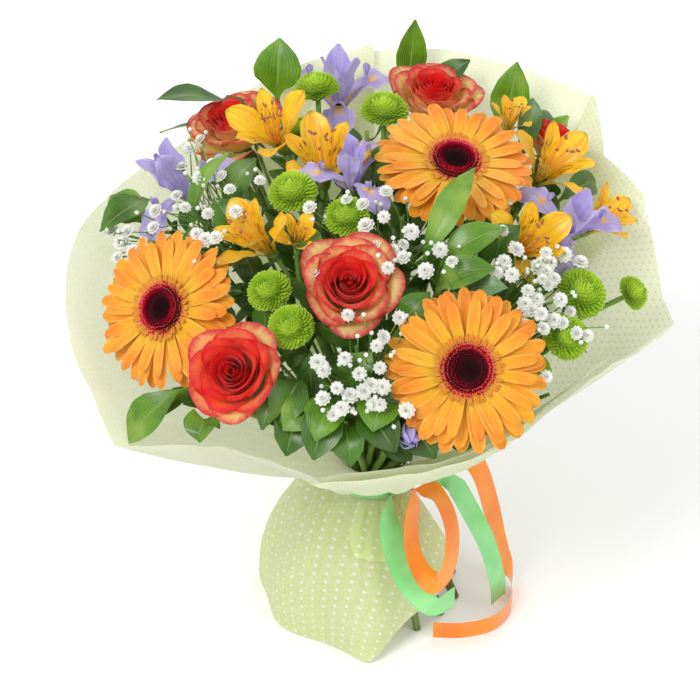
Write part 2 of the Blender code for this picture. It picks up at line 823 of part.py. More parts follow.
LILY_SPRAYS = (
    ("back_left", ((-70, 54, 12, -35, 60, 1.0), (-34, 32, -2, 0, 74, 1.05))),
    ("left", ((-80, -42, 6, -60, 52, 0.95), (-50, -50, 6, 10, 60, 0.55))),
    ("back_right", ((92, 82, 14, 60, 78, 0.6),)),
    ("right", ((120, 48, 8, 55, 60, 1.0), (154, 26, 0, 70, 50, 0.8))),
    ("low_right", ((97, -40, 3, 20, 48, 1.0),)),
)
# Tepals: widths from root to tip, length, bend
LILY_OUTER = ((5, 18, 7), 46, (64, 32))
LILY_INNER = ((5, 12, 4), 47, (72, 46))
LILY_RING = 4.2
LILY_SLOPE = 68.0
LILY_STAMENS = ((0.0, 1.2), (27, 3.4), (34, 0.8))
LILY_DEPTH = 26.0
LILY_NECK = 5.0
LILY_BELOW = 62.0


def sized(kind, size):
    widths, length, bend = kind
    return tuple(w * size for w in widths), length * size, bend


def lily(path, facing, size, crowd):
    """Funnel of three broad and three narrow tepals round a tuft of stamens, on a branch down along path."""
    base = path[0]
    kinds = (sized(LILY_OUTER, size), sized(LILY_INNER, size))
    blade = kinds_in_turn(kinds, facing)
    funnel = Star(base, facing, LILY_RING * size, blade, 6, slope=LILY_SLOPE, crowd=crowd)
    funnel.stalk(path[1:], [BRANCH_RADIUS] * (len(path) - 1))
    stamens = tuple((h * size, r * size) for h, r in LILY_STAMENS)
    return [funnel.solid(), turned(base, facing, stamens, 3)]


# Irises: (name, x, y, lift, azimuth, elevation, size, roll)

IRISES = (
    ("back", -25, 138, 6, 0, 84, 0.95, 30),
    ("left", -134, 42, 4, -60, 62, 0.95, 0),
    ("centre", -15, 7, 4, 10, 78, 0.8, 60),
    ("right", 128, -10, 6, 40, 62, 0.85, 20),
)
IRIS_STEM = 2.9
IRIS_DEPTH = 22.0
# Petals: widths from root to tip, length, bend
IRIS_FALL = ((5, 7, 19, 14, 5), 54, (56, -52))
IRIS_STANDARD = ((5, 8, 15, 5), 52, (80, 76))
IRIS_ARM = ((3, 6, 7), 28, (46, 16))
IRIS_RING = 4.4
IRIS_SLOPE = 68.0
IRIS_NECK = 5.0
IRIS_NECK_RADIUS = 2.6
IRIS_TOP = ((-10.0, 2.9), (-IRIS_NECK - SEAT, 3.0))
IRIS_ARM_RING = 2.2
IRIS_ARM_SLOPE = 46.0
IRIS_ARM_LEVEL = 7.0
# The bud: x, y, lift, azimuth, elevation, then its (distance along the stem, radius)
IRIS_BUD = (18, -150, -20, 10, 18)
IRIS_BUD_DEPTH = 20.0
IRIS_BUD_SHAPE = ((6, 5.5), (20, 7.0), (34, 4.5), (42, 1.0))
# Its sheath leaf: how far below the stem's end it starts, then length, widths and bend
SHEATH = (8.0, 44.0, (6, 12, 3), (10, -10))


def iris_bloom(base, facing, size, roll, crowd):
    """Three falls, three upright standards between them, and a style arm over each fall."""
    kinds = (sized(IRIS_FALL, size), sized(IRIS_STANDARD, size))
    blade = kinds_in_turn(kinds, facing)
    falls = Star(base, facing, IRIS_RING * size, blade, 6, roll / 60, slope=IRIS_SLOPE, crowd=crowd)
    falls.stalk([base - facing * IRIS_NECK], [IRIS_NECK_RADIUS])
    blade = kinds_in_turn((sized(IRIS_ARM, size),), facing)
    middle, ring = base + facing * IRIS_ARM_LEVEL * size, IRIS_ARM_RING * size
    arms = Star(middle, facing, ring, blade, 3, roll / 120, slope=IRIS_ARM_SLOPE, crowd=crowd)
    arms.stalk([base], [ring * 0.8])
    return [falls.solid(), arms.solid()]


# Leaves: stem, its end (x, y, lift), then its leaves as (root x, y, lift), (tip x, y, lift), width, arch

LEAF_STEMS = (
    ("back_left", (-64, 136, -20), (
        ((-68, 142, 8), (-66, 154, 52), 34, 4),
        ((-98, 122, -12), (-150, 122, 56), 18, 6),
    )),
    ("back", (10, 150, -24), (
        ((24, 164, 6), (30, 168, 50), 22, 2),
    )),
    ("back_right", (98, 118, -24), (
        ((90, 122, -10), (98, 128, 46), 28, 4),
        ((108, 116, -14), (134, 116, 30), 20, 6),
    )),
    ("left", (-146, 14, -26), (
        ((-156, 34, -8), (-178, 52, 32), 24, 6),
        ((-120, 0, -8), (-96, 16, 24), 18, 8),
    )),
    ("centre_right", (40, -62, -22), (
        ((30, -62, -4), (68, -10, 34), 21, 12),
        ((40, -62, -6), (82, -50, 20), 23, 8),
        ((38, -74, -10), (74, -76, 14), 22, 8),
    )),
    ("front_left", (-112, -104, -30), (
        ((-124, -104, -20), (-160, -108, -4), 26, 6),
        ((-104, -126, -20), (-112, -146, -2), 26, 6),
    )),
    ("front", (-40, -126, -30), (
        ((-40, -138, -18), (-58, -156, 2), 24, 6),
        ((-28, -138, -16), (-38, -164, 4), 26, 6),
    )),
    ("front_right", (6, -128, -30), (
        ((2, -138, -16), (-3, -164, 6), 28, 6),
        ((14, -126, -18), (30, -118, -4), 22, 4),
    )),
)
LEAF_STEM = 2.3
# A leaf whose line comes closer than this cosine to the dome's normal turns its face to the viewer
UPRIGHT_LEAF = 0.75
UPRIGHT_FACE = aim(0, 20)
LEAF_SHAPE = (0.45, 1.0, 0.74, 0.10)
LEAF_FOLD = 0.22
LEAF_ROOT_HALF = 1.6
# How far below the stem's end its first leaf leaves it, and each one after
LEAF_START = 2.0
LEAF_STEP = 7.0

# Gypsophila: spray, how many florets, then its patches as (x, y, lift, reach in x, reach in y)

MIST_SPRAYS = (
    ("front", 7, ((-20, -142, 16, 26, 14), (6, -134, 12, 22, 12))),
    ("middle", 7, ((8, -22, 18, 26, 20), (32, -44, 12, 24, 18))),
    ("right", 7, ((98, -72, 14, 28, 20), (96, -90, 14, 26, 18))),
    ("left", 5, ((-112, 32, 16, 20, 24), (-128, 10, 12, 16, 14))),
    ("far_left", 3, ((-152, 52, 10, 14, 22),)),
)
MIST_STEM = 1.8
MIST_BELOW = 56.0
FLORET_RADIUS = 4.6
FLORET_PROFILE = ((-0.5, 0.6), (0.1, 1.1), (0.75, 0.45))
FLORET_NOTCH = 0.8
# Florets stand up to this far above and below their patch
FLORET_SWAY = 5.0
STALK_RADIUS = 0.8
STALK_ROOM = 0.7
STALK_START = 1.5
STALK_STEP = 2.4
STALK_BENDS = (0, 7, 14, 22)
STALK_WAYS = 8


def build_all():
    crowd = Crowd()
    nodes = {}
    stems = []

    def stem_for(node, end, facing, radius, straight=LONG_FORK):
        stem = Stem(node, end, facing, radius, straight)
        stems.append(stem)
        return stem

    def keep(name, shapes, finish):
        nodes[name] = (shapes, finish)
        for shape in shapes:
            crowd.add(name, shape)

    gerberas = []
    for name, x, y, lift, azimuth, elevation, roll in GERBERAS:
        place, facing = on_dome(x, y, lift), aim(azimuth, elevation)
        gerberas.append((name, place, facing, roll, stem_for(f"gerbera_{name}_stem", place, facing, GERBERA_STEM)))
    roses = []
    for name, x, y, lift, azimuth, elevation, size, opened in ROSES:
        place, facing = on_dome(x, y, lift), aim(azimuth, elevation)
        hip = place - facing * ROSE_DEPTH * size
        roses.append((name, hip, facing, size, opened, stem_for(f"rose_{name}_stem", hip, facing, ROSE_STEM)))

    def spray(prefix, rows, radius, below):
        """One main stem for several heads, ending this far below their middle."""
        made = []
        for row in rows:
            name, heads = row[0], row[-1]
            spots = np.array([on_dome(*head[:3]) for head in heads])
            middle = spots.mean(axis=0)
            inward = unit(middle - (0, 0, TIE_Z))
            end = middle - inward * below
            made.append((row, stem_for(f"{prefix}_{name}", end, inward, radius, SHORT_FORK)))
        return made

    pompons = spray("pompons", POMPON_SPRAYS, SPRAY_STEM, POMPON_BELOW)
    lilies = spray("alstroemeria", LILY_SPRAYS, SPRAY_STEM, LILY_BELOW)
    mists = spray("gypsophila", MIST_SPRAYS, MIST_STEM, MIST_BELOW)
    irises = []
    for name, x, y, lift, azimuth, elevation, size, roll in IRISES:
        place, facing = on_dome(x, y, lift), aim(azimuth, elevation)
        base = place - facing * IRIS_DEPTH * size
        stem = stem_for(f"iris_{name}_stem", base, facing, IRIS_STEM)
        irises.append((name, base, facing, size, roll, stem))
    x, y, lift, azimuth, elevation = IRIS_BUD
    bud_place, bud_facing = on_dome(x, y, lift), aim(azimuth, elevation)
    bud_stem = stem_for("iris_bud", bud_place - bud_facing * IRIS_BUD_DEPTH, bud_facing, SPRAY_STEM)
    leafy = []
    for name, end, leaves in LEAF_STEMS:
        place = on_dome(*end)
        outward = unit(place - (0, 0, TIE_Z))
        leafy.append((leaves, stem_for(f"leaves_{name}", place, outward, LEAF_STEM, SHORT_FORK)))

    wrap_up(stems, lay_stems(stems), keep)

    for name, place, facing, roll, stem in gerberas:
        keep(stem.node, [stem_shape(stem, GERBERA_CUP)], "stem")
        keep(f"gerbera_{name}_petals", gerbera_petals(place, facing, roll), "gerbera petal")
        keep(f"gerbera_{name}_disc", [gerbera_disc(place, facing)], "gerbera disc")
    for name, hip, facing, size, opened, stem in roses:
        keep(stem.node, [rose_stem(stem, facing, size)], "stem")
        keep(f"rose_{name}_bloom", rose_bloom(hip, facing, size, opened), "rose petal")
    for (_, heads), stem in pompons:
        shapes = [stem_shape(stem)]
        for x, y, lift, radius in heads:
            facing = dome_normal(x, y)
            centre = on_dome(x, y, lift)
            foot = centre - facing * radius * POMPON_FLAT
            start = stem.end - stem.facing * BRANCH_START
            path = [start, (stem.end + foot) / 2 - facing * BRANCH_DIP, centre]
            shapes.append(pompon(path, facing, radius))
        keep(stem.node, shapes, "pompon")
    for name, base, facing, size, roll, stem in irises:
        keep(stem.node, [stem_shape(stem, IRIS_TOP)], "stem")
        crowd.look_past(stem.node)
        keep(f"iris_{name}_petals", iris_bloom(base, facing, size, roll, crowd), "iris")
    for (_, heads), stem in lilies:
        shapes = [stem_shape(stem)]
        crowd.look_past(stem.node)
        for x, y, lift, azimuth, elevation, size in heads:
            facing = aim(azimuth, elevation)
            base = on_dome(x, y, lift) - facing * LILY_DEPTH * size
            start = stem.end - stem.facing * BRANCH_START
            path = [base, base - facing * LILY_NECK, (stem.end + base) / 2 - facing * BRANCH_DIP, start]
            shapes += lily(path, facing, size, crowd)
        keep(stem.node, shapes, "alstroemeria")
    keep("iris_bud", iris_bud(bud_stem, bud_facing), "iris")
    for leaves, stem in leafy:
        keep(stem.node, leafy_stem(stem, leaves, crowd), "leaf")
    for (_, count, patches), stem in mists:
        keep(stem.node, mist(stem, count, patches, crowd), "gypsophila")
    return nodes


def iris_bud(stem, facing):
    """The closed bud at the end of its stem, with one narrow sheath leaf."""
    below, length, widths, bend = SHEATH
    out = unit(facing - np.cross(facing, (0, 0, 1)) / 2)
    sheath = blade_grid(stem.end - facing * below, out, (0, 0, 1), length, widths, bend)
    return [stem_shape(stem, IRIS_BUD_SHAPE), sheet_solid(sheath)]


def leafy_stem(stem, leaves, crowd):
    crowd.look_past(stem.node)
    shapes = [stem_shape(stem)]
    for k, (root, tip, width, arch) in enumerate(leaves):
        root, tip = on_dome(*root), on_dome(*tip)
        start = stem.end - stem.facing * (LEAF_START + LEAF_STEP * k)
        line = tip - root
        length = np.linalg.norm(line)
        out = unit(line)
        outward = dome_normal(root[0], root[1])
        up = square_to(out, outward if out.dot(outward) < UPRIGHT_LEAF else UPRIGHT_FACE)
        side = np.cross(up, out)
        rows = [[start + side * s * LEAF_ROOT_HALF for s in (-1, 0, 1)]]
        for station, share in enumerate(LEAF_SHAPE):
            t = station / (len(LEAF_SHAPE) - 1)
            spot = root + line * t + up * arch * math.sin(math.pi * t)
            half = width / 2 * share
            rows.append([spot + side * half * s + up * (abs(s) * half * LEAF_FOLD) for s in (-1, 0, 1)])
        grid = bent_clear(rows, crowd)
        shapes.append(sheet_solid(grid))
    return shapes


def mist(stem, count, patches, crowd):
    """Florets scattered by the golden angle over their patches, each on a thin stalk from the stem's end."""
    crowd.look_past(stem.node)
    shapes = [stem_shape(stem)]
    placed = []
    golden = math.pi * (3 - math.sqrt(5))
    tries = 0
    while len(placed) < count and tries < count * 8:
        x, y, lift, reach_x, reach_y = patches[tries % len(patches)]
        r = math.sqrt((tries * 0.618) % 1.0)
        angle = tries * golden
        spot = on_dome(x + reach_x * r * math.cos(angle), y + reach_y * r * math.sin(angle), lift)
        spot = spot + dome_normal(x, y) * FLORET_SWAY * math.sin(tries * 2.1)
        tries += 1
        if crowd.room(spot) < FLORET_RADIUS + 1.0:
            continue
        if any(np.linalg.norm(spot - other) < FLORET_RADIUS * 2.0 for other in placed):
            continue
        start = stem.end - stem.facing * (STALK_START + STALK_STEP * len(placed))
        path = stalk_path(start, spot, crowd)
        if path is None:
            continue
        placed.append(spot)
        shapes.append(floret(path))
    return shapes


def floret(path):
    """A small double bloom, a faceted button with a notched rim, on its thin stalk along path."""
    profile = tuple((h * FLORET_RADIUS, r * FLORET_RADIUS) for h, r in FLORET_PROFILE)
    notched = lambda i, k: 1.0 if (i + k) % 2 else FLORET_NOTCH
    return headed(path, STALK_RADIUS, 3, path[-1] - path[-2], profile, notched)


def stalk_path(start, spot, crowd):
    """A slightly bent route that keeps clear of what stands between, or None."""
    line = spot - start
    side = square_to(unit(line), (0, 0, 1))
    other = np.cross(unit(line), side)
    for bend in STALK_BENDS:
        for k in range(1 if bend == 0 else STALK_WAYS):
            angle = 2 * math.pi * k / STALK_WAYS
            middle = (start + spot) / 2 + (side * math.cos(angle) + other * math.sin(angle)) * bend
            legs = [start + (middle - start) * t for t in (0.3, 0.5, 0.65, 0.8, 0.9, 1.0)]
            legs += [middle + (spot - middle) * t for t in (0.1, 0.2, 0.35, 0.5, 0.65, 0.8, 0.9)]
            if min(crowd.room(p) for p in legs) < STALK_RADIUS + STALK_ROOM:
                continue
            if crowd.open_line(start, middle) and crowd.open_line(middle, spot):
                return [start, spot] if bend == 0 else [start, middle, spot]
    return None


# Tie, wrap and ribbons


def bundle_reach(stems, wide, angle, z_low, z_high):
    """How far the stems reach in one direction between two heights."""
    way = np.array([math.cos(angle), math.sin(angle)])
    reach = 0.0
    for stem, radius in zip(stems, wide):
        path = np.array(stem.path)
        for z in (z_low, (z_low + z_high) / 2, z_high):
            spot = np.array([np.interp(z, path[:, 2], path[:, k]) for k in (0, 1)])
            reach = max(reach, spot.dot(way) + radius * SWELL)
    return reach


def band(reach, z_low, z_high, thickness):
    """An open ring that stands reach(angle) from the axis."""
    sides = BAND_SIDES
    turns = [2 * math.pi * i / sides for i in range(sides)]
    points = []
    for z, extra in ((z_low, 0.0), (z_high, 0.0), (z_high, thickness), (z_low, thickness)):
        for a in turns:
            r = reach(a) + extra
            points.append((r * math.cos(a), r * math.sin(a), z))
    faces = []
    for k in range(4):
        for i in range(sides):
            a, b = k * sides + i, k * sides + (i + 1) % sides
            c, d = (k + 1) % 4 * sides + (i + 1) % sides, (k + 1) % 4 * sides + i
            faces += [(a, d, c), (a, c, b)]
    return np.array(points), faces


# The collar's rim by azimuth (0 is the viewer's right, 270 the front): radius and height.
# All sheets have their columns at these azimuths, so that they lie on each other without crossing.
RIM = (
    (3, 192, 250), (12, 188, 285), (17, 187, 304), (30, 178, 318), (41, 199, 344), (52, 190, 346),
    (62, 182, 348), (76, 181, 354), (90, 180, 353), (101, 180, 342), (112, 179, 332), (124, 182, 316),
    (135, 185, 302), (148, 192, 296), (160, 198, 286), (170, 202, 284), (180, 205, 278), (190, 206, 270),
    (200, 207, 258), (208, 206, 244), (216, 206, 218), (228, 190, 237), (238, 183, 249), (248, 178, 247),
    (258, 180, 239), (268, 172, 237), (283, 168, 242), (297, 168, 252), (310, 168, 261), (328, 174, 268),
    (345, 186, 260), (358, 198, 243),
)
COLLAR_SAG = 9.0
COLLAR_START = 2.0
COLLAR_CURVE = 1.12
# A sheet of a higher layer has its rim this much wider and lower
RIM_STEP = (2.2, 4.0)
FOLDS = 7
COLLAR_FOLD = 3.0
COLLAR_SHARES = (0.16, 0.44, 0.72, 1.0)
# The skirt's hem: azimuth, and how far down it reaches, 1 being the floor
HEM = ((76, 1.0), (262, 1.0), (290, 0.80), (315, 0.64), (330, 0.40))
HEM_RADIUS = (82, 9)
SKIRT_SHARES = (1.0, 0.66, 0.28)
SKIRT_CURVE = 1.25
SKIRT_FLARE = (1.06, 0.9)
SKIRT_FOLD = 2.6
SKIRT_FOLD_PHASE = 0.6
FLOOR_GAP = 1.0
# The sheets: name, first and last azimuth, layer over the tape, whether it runs on below as the skirt
SHEETS = (
    ("wrap_left", 90, 328, 0, True),
    ("wrap_right", 268, 401, 1, False),
    ("wrap_back", 17, 135, 2, False),
)


def around(table, azimuth, column):
    """A value of a table by azimuth, read round the full circle."""
    turns = [row[0] for row in table]
    values = [row[column] for row in table]
    turns = [turns[-1] - 360] + turns + [turns[0] + 360]
    values = [values[-1]] + values + [values[0]]
    return float(np.interp(azimuth % 360, turns, values))


def collar_point(azimuth, t, layer, neck):
    """A point of the collar: t runs from the neck (0) to the rim (1)."""
    a = math.radians(azimuth)
    radius, height = around(RIM, azimuth, 1), around(RIM, azimuth, 2)
    wider, lower = RIM_STEP
    low = TIE_Z + NECK_HALF + COLLAR_START
    inner = neck(a) + layer * LAYER_STEP
    r = inner + (radius + wider * layer - inner) * t
    sag = COLLAR_SAG * math.sin(math.pi * t)
    z = low + (height - low) * t**COLLAR_CURVE - sag - layer * lower * t
    ripple = COLLAR_FOLD * math.sin(a * FOLDS) * t * t
    return np.array([r * math.cos(a), r * math.sin(a), z + ripple])


def skirt_point(azimuth, t, neck):
    """A point of the skirt: t runs from the neck (0) to the hem (1)."""
    a = math.radians(azimuth)
    t = t * float(np.interp(azimuth, *zip(*HEM)))
    hem = HEM_RADIUS[0] + HEM_RADIUS[1] * math.sin(a)
    early, power = SKIRT_FLARE
    r = neck(a) + (hem - neck(a)) * math.sin(math.pi / 2 * min(1.0, t * early)) ** power
    folds = SKIRT_FOLD * math.sin(a * FOLDS + SKIRT_FOLD_PHASE) * t
    z = TIE_Z - NECK_HALF - (TIE_Z - NECK_HALF - FLOOR_GAP) * t**SKIRT_CURVE
    return np.array([(r + folds) * math.cos(a), (r + folds) * math.sin(a), z])


def wrap_sheet(first, last, layer, neck, skirt):
    """A sheet's grid between two of the rim's azimuths, from the skirt's hem or the neck up to the rim."""
    azimuths = [row[0] for row in RIM]
    turns = [a for a in azimuths + [a + 360 for a in azimuths] if first <= a <= last]
    rows = []
    if skirt:
        rows += [[skirt_point(a, t, neck) for a in turns] for t in SKIRT_SHARES]
    for z in (TIE_Z - NECK_HALF, TIE_Z + NECK_HALF):
        row = []
        for turn in turns:
            a = math.radians(turn)
            r = neck(a) + layer * LAYER_STEP
            row.append((r * math.cos(a), r * math.sin(a), z))
        rows.append(row)
    rows += [[collar_point(a, t, layer, neck) for a in turns] for t in COLLAR_SHARES]
    return np.array(rows)


# Ribbons: each has a narrow gathered band round the neck and runs that leave it.
# A run is its two azimuths along the band, then points (x, y, z) with the way that it faces.
RIBBON_BAND = 6.2
RIBBON_GATHERED = 4.96
GREEN_BAND_Z = 110.2
ORANGE_BAND_Z = 117.8
OUT = (0.3, -1.0, 0.0)
RIGHT = (1.0, -0.4, 0.2)
GREEN_RUNS = (
    ((-88, -72), (
        (11, -40, 112, OUT), (10, -54, 103, OUT), (15, -68, 86, OUT),
        (25, -78, 67, OUT), (40, -82, 53, OUT), (54, -72, 55, OUT),
    )),
    ((-34, -16), (
        (44, -16, 113, RIGHT), (56, -20, 110, RIGHT), (67, -24, 91, RIGHT),
        (80, -26, 62, RIGHT), (88, -26, 30, RIGHT), (90, -24, 8, RIGHT),
    )),
)
ORANGE_RUNS = (
    ((-66, -52), (
        (28, -40, 119, OUT), (25, -56, 104, OUT), (28, -66, 88, OUT), (35, -72, 75, OUT), (46, -70, 71, OUT),
        (54, -62, 84, OUT), (53, -52, 102, OUT), (45, -42, 116, OUT), (33, -31, 119.5, OUT),
    )),
    ((-10, 8), (
        (48, 5, 121, RIGHT), (64, 4, 119, RIGHT), (75, 3, 104, RIGHT), (84, 2, 72, RIGHT), (91, 1, 38, RIGHT),
        (97, 2, 14, RIGHT), (100, -10, 7, (1, -0.2, 0)), (98, -30, 6.6, (0.9, -0.5, 0)),
        (86, -48, 6.6, (0.5, -1, 0)), (64, -56, 6.6, (0.2, -1, 0)), (42, -56, 6.6, (0, -1, 0)),
    )),
)


def ribbon_strip(points, facings, widths):
    """A flat strip through points, its width square to its run and to the way that it faces."""
    rows = []
    for k, (point, facing, width) in enumerate(zip(points, facings, widths)):
        ahead = unit(points[min(k + 1, len(points) - 1)] - points[max(k - 1, 0)])
        wide = unit(np.cross(ahead, np.asarray(facing, float)))
        rows.append([point - wide * width / 2, point + wide * width / 2])
    return sheet_solid(rows, RIBBON_THICKNESS)


def ribbon_shapes(band_z, runs, outside):
    shapes = [band(outside, band_z - RIBBON_BAND / 2, band_z + RIBBON_BAND / 2, 2 * RIBBON_THICKNESS)]
    for (first, last), route in runs:
        points, facings, widths = [], [], []
        for degrees in (first, last):
            a = math.radians(degrees)
            r = outside(a) + RIBBON_THICKNESS
            points.append(np.array([r * math.cos(a), r * math.sin(a), band_z]))
            facings.append((math.cos(a), math.sin(a), 0))
            widths.append(RIBBON_GATHERED)
        for x, y, z, facing in route:
            points.append(np.array([x, y, z], float))
            facings.append(facing)
            widths.append(RIBBON_WIDTH)
        shapes.append(ribbon_strip(points, facings, widths))
    return shapes


def wrap_up(stems, wide, keep):
    """The binding tape, the three sheets of the wrap over it and the two ribbons over those."""
    low, high = TIE_Z - TAPE_HEIGHT / 2, TIE_Z + TAPE_HEIGHT / 2

    def tape_reach(angle):
        return bundle_reach(stems, wide, angle, low, high) + SEAT

    def neck(angle):
        return tape_reach(angle) + TAPE_THICKNESS + WRAP_THICKNESS / 2 + WRAP_ROOM

    def outside(angle):
        return neck(angle) + 2 * LAYER_STEP + WRAP_THICKNESS / 2 + RIBBON_ROOM

    keep("binding_tape", [band(tape_reach, low, high, TAPE_THICKNESS)], "tape")
    for name, first, last, layer, skirt in SHEETS:
        keep(name, [sheet_solid(wrap_sheet(first, last, layer, neck, skirt), WRAP_THICKNESS)], "wrap")
    keep("ribbon_green", ribbon_shapes(GREEN_BAND_Z, GREEN_RUNS, outside), "green ribbon")
    keep("ribbon_orange", ribbon_shapes(ORANGE_BAND_Z, ORANGE_RUNS, outside), "orange ribbon")


def main():
    for old in list(bpy.data.objects):
        bpy.data.objects.remove(old)
    for name, (shapes, finish) in build_all().items():
        fuse(name, shapes, finish)


main()
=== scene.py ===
"""The looks of a hand-tied bouquet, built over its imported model.

Lengths are millimetres in the part's own layout, before it is centred, and angles are degrees.
+X is the viewer's right, -Y faces the viewer, +Z is up, and the stems stand on z = 0.
"""

import functools
import math
import random

import bpy
import numpy as np
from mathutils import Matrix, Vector


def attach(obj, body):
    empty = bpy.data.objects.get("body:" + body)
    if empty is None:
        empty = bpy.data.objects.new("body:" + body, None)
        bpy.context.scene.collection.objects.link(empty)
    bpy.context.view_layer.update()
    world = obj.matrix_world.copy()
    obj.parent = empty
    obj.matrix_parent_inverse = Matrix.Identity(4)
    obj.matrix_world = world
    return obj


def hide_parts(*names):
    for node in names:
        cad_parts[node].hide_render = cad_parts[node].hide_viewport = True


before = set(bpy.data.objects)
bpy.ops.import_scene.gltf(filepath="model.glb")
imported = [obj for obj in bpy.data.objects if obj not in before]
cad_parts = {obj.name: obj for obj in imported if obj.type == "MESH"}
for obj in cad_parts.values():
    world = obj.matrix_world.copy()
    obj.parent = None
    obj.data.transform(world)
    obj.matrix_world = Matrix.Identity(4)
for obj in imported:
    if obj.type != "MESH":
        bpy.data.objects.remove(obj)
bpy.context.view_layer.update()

MM = 0.001
CENTRING = np.array([2.5, -4.2, 0.0])
GOLDEN = math.pi * (3 - math.sqrt(5))

# The flowers' heads lie on a low dome that rises towards the back
DOME_CENTRE_Y = 5.0
DOME_CENTRE_Z = 235.0
DOME_RADIUS = 190.0
DOME_RISE = 110.0
DOME_SLOPE = 0.16
TIE = np.array([0.0, 0.0, 114.0])

# The camera looks at TARGET from the front and above
CAMERA_ELEVATION = 35.0
CAMERA_DISTANCE = 1600.0
CAMERA_LENS = 121.0
TILT = math.radians(CAMERA_ELEVATION)
# The way from TARGET to the camera, and the way that is up in the picture
BACK = np.array([0.0, -math.cos(TILT), math.sin(TILT)])
UP = np.array([0.0, math.sin(TILT), math.cos(TILT)])
SENSOR = 36.0
PHOTO_SIDE = 700
# Rays that pass over the dome stop above it, inside this radius if they can
HORIZON = 178.0
TARGET = np.array([-17.0, 0.0, 211.0])
# A ray is walked from so far before TARGET's distance to so far behind it, and then halved towards the dome
RAY_WALK = 400.0
RAY_STEPS = 200
RAY_HALVINGS = 12
# How much more a ray's distance outside HORIZON counts than its height over the dome
RAY_OUTSIDE = 2


def rgb(red, green, blue):
    """A colour as on screen, 0 to 255, turned into the linear values that shaders take."""
    levels = [c / 255 for c in (red, green, blue)]
    return tuple(c / 12.92 if c < 0.04 else ((c + 0.055) / 1.055) ** 2.4 for c in levels) + (1.0,)


def aim(azimuth, elevation):
    """A direction: azimuth 0 faces the viewer and 90 the right, and elevation 90 is straight up."""
    a, e = math.radians(azimuth), math.radians(elevation)
    return np.array([math.sin(a) * math.cos(e), -math.cos(a) * math.cos(e), math.sin(e)])


def unit(v):
    v = np.asarray(v, float)
    return v / max(np.linalg.norm(v), 1e-9)


def square_to(axis, hint):
    """The part of hint that is square to axis, as a unit vector."""
    hint = np.asarray(hint, float)
    side = hint - axis * hint.dot(axis)
    if np.linalg.norm(side) < 1e-3:
        side = np.cross(axis, (0.3, 1.0, 0.2))
    return unit(side)


def spokes(axis):
    """A function that gives the direction square to axis at an angle round it."""
    side = square_to(axis, (1, 0, 0))
    other = np.cross(axis, side)
    return lambda turn: side * math.cos(turn) + other * math.sin(turn)


def dome_height(x, y):
    inside = max(0.0, 1 - (x * x + (y - DOME_CENTRE_Y) ** 2) / DOME_RADIUS**2)
    return DOME_CENTRE_Z + DOME_RISE * math.sqrt(inside) + DOME_SLOPE * y


def on_dome(x, y, lift=0.0):
    return np.array([x, y, dome_height(x, y) + lift])


def dome_normal(x, y):
    step = 1.0
    dx = (dome_height(x + step, y) - dome_height(x - step, y)) / (2 * step)
    dy = (dome_height(x, y + step) - dome_height(x, y - step)) / (2 * step)
    return unit((-dx, -dy, 1.0))


def seen_on_dome(u, v, lift):
    """The point that stands lift above the dome behind a pixel of the photograph."""
    eye = TARGET + BACK * CAMERA_DISTANCE
    pixel = CAMERA_DISTANCE * SENSOR / CAMERA_LENS / PHOTO_SIDE
    half = PHOTO_SIDE / 2
    way = unit(np.array([(u - half) * pixel, 0, 0]) + UP * (half - v) * pixel - BACK * CAMERA_DISTANCE)
    last = CAMERA_DISTANCE - RAY_WALK
    nearest = (math.inf, None)
    for reach in np.linspace(last, CAMERA_DISTANCE + RAY_WALK, RAY_STEPS):
        p = eye + way * reach
        if p[2] < dome_height(p[0], p[1]) + lift and math.hypot(p[0], p[1]) < HORIZON:
            for _ in range(RAY_HALVINGS):
                middle = (last + reach) / 2
                p = eye + way * middle
                if p[2] < dome_height(p[0], p[1]) + lift:
                    reach = middle
                else:
                    last = middle
            return eye + way * reach
        last = reach
        over = max(0.0, p[2] - dome_height(p[0], p[1]))
        outside = max(0.0, math.hypot(p[0], p[1]) - HORIZON)
        nearest = min(nearest, (over + RAY_OUTSIDE * outside, reach))
    return eye + way * nearest[1]


# Shapes


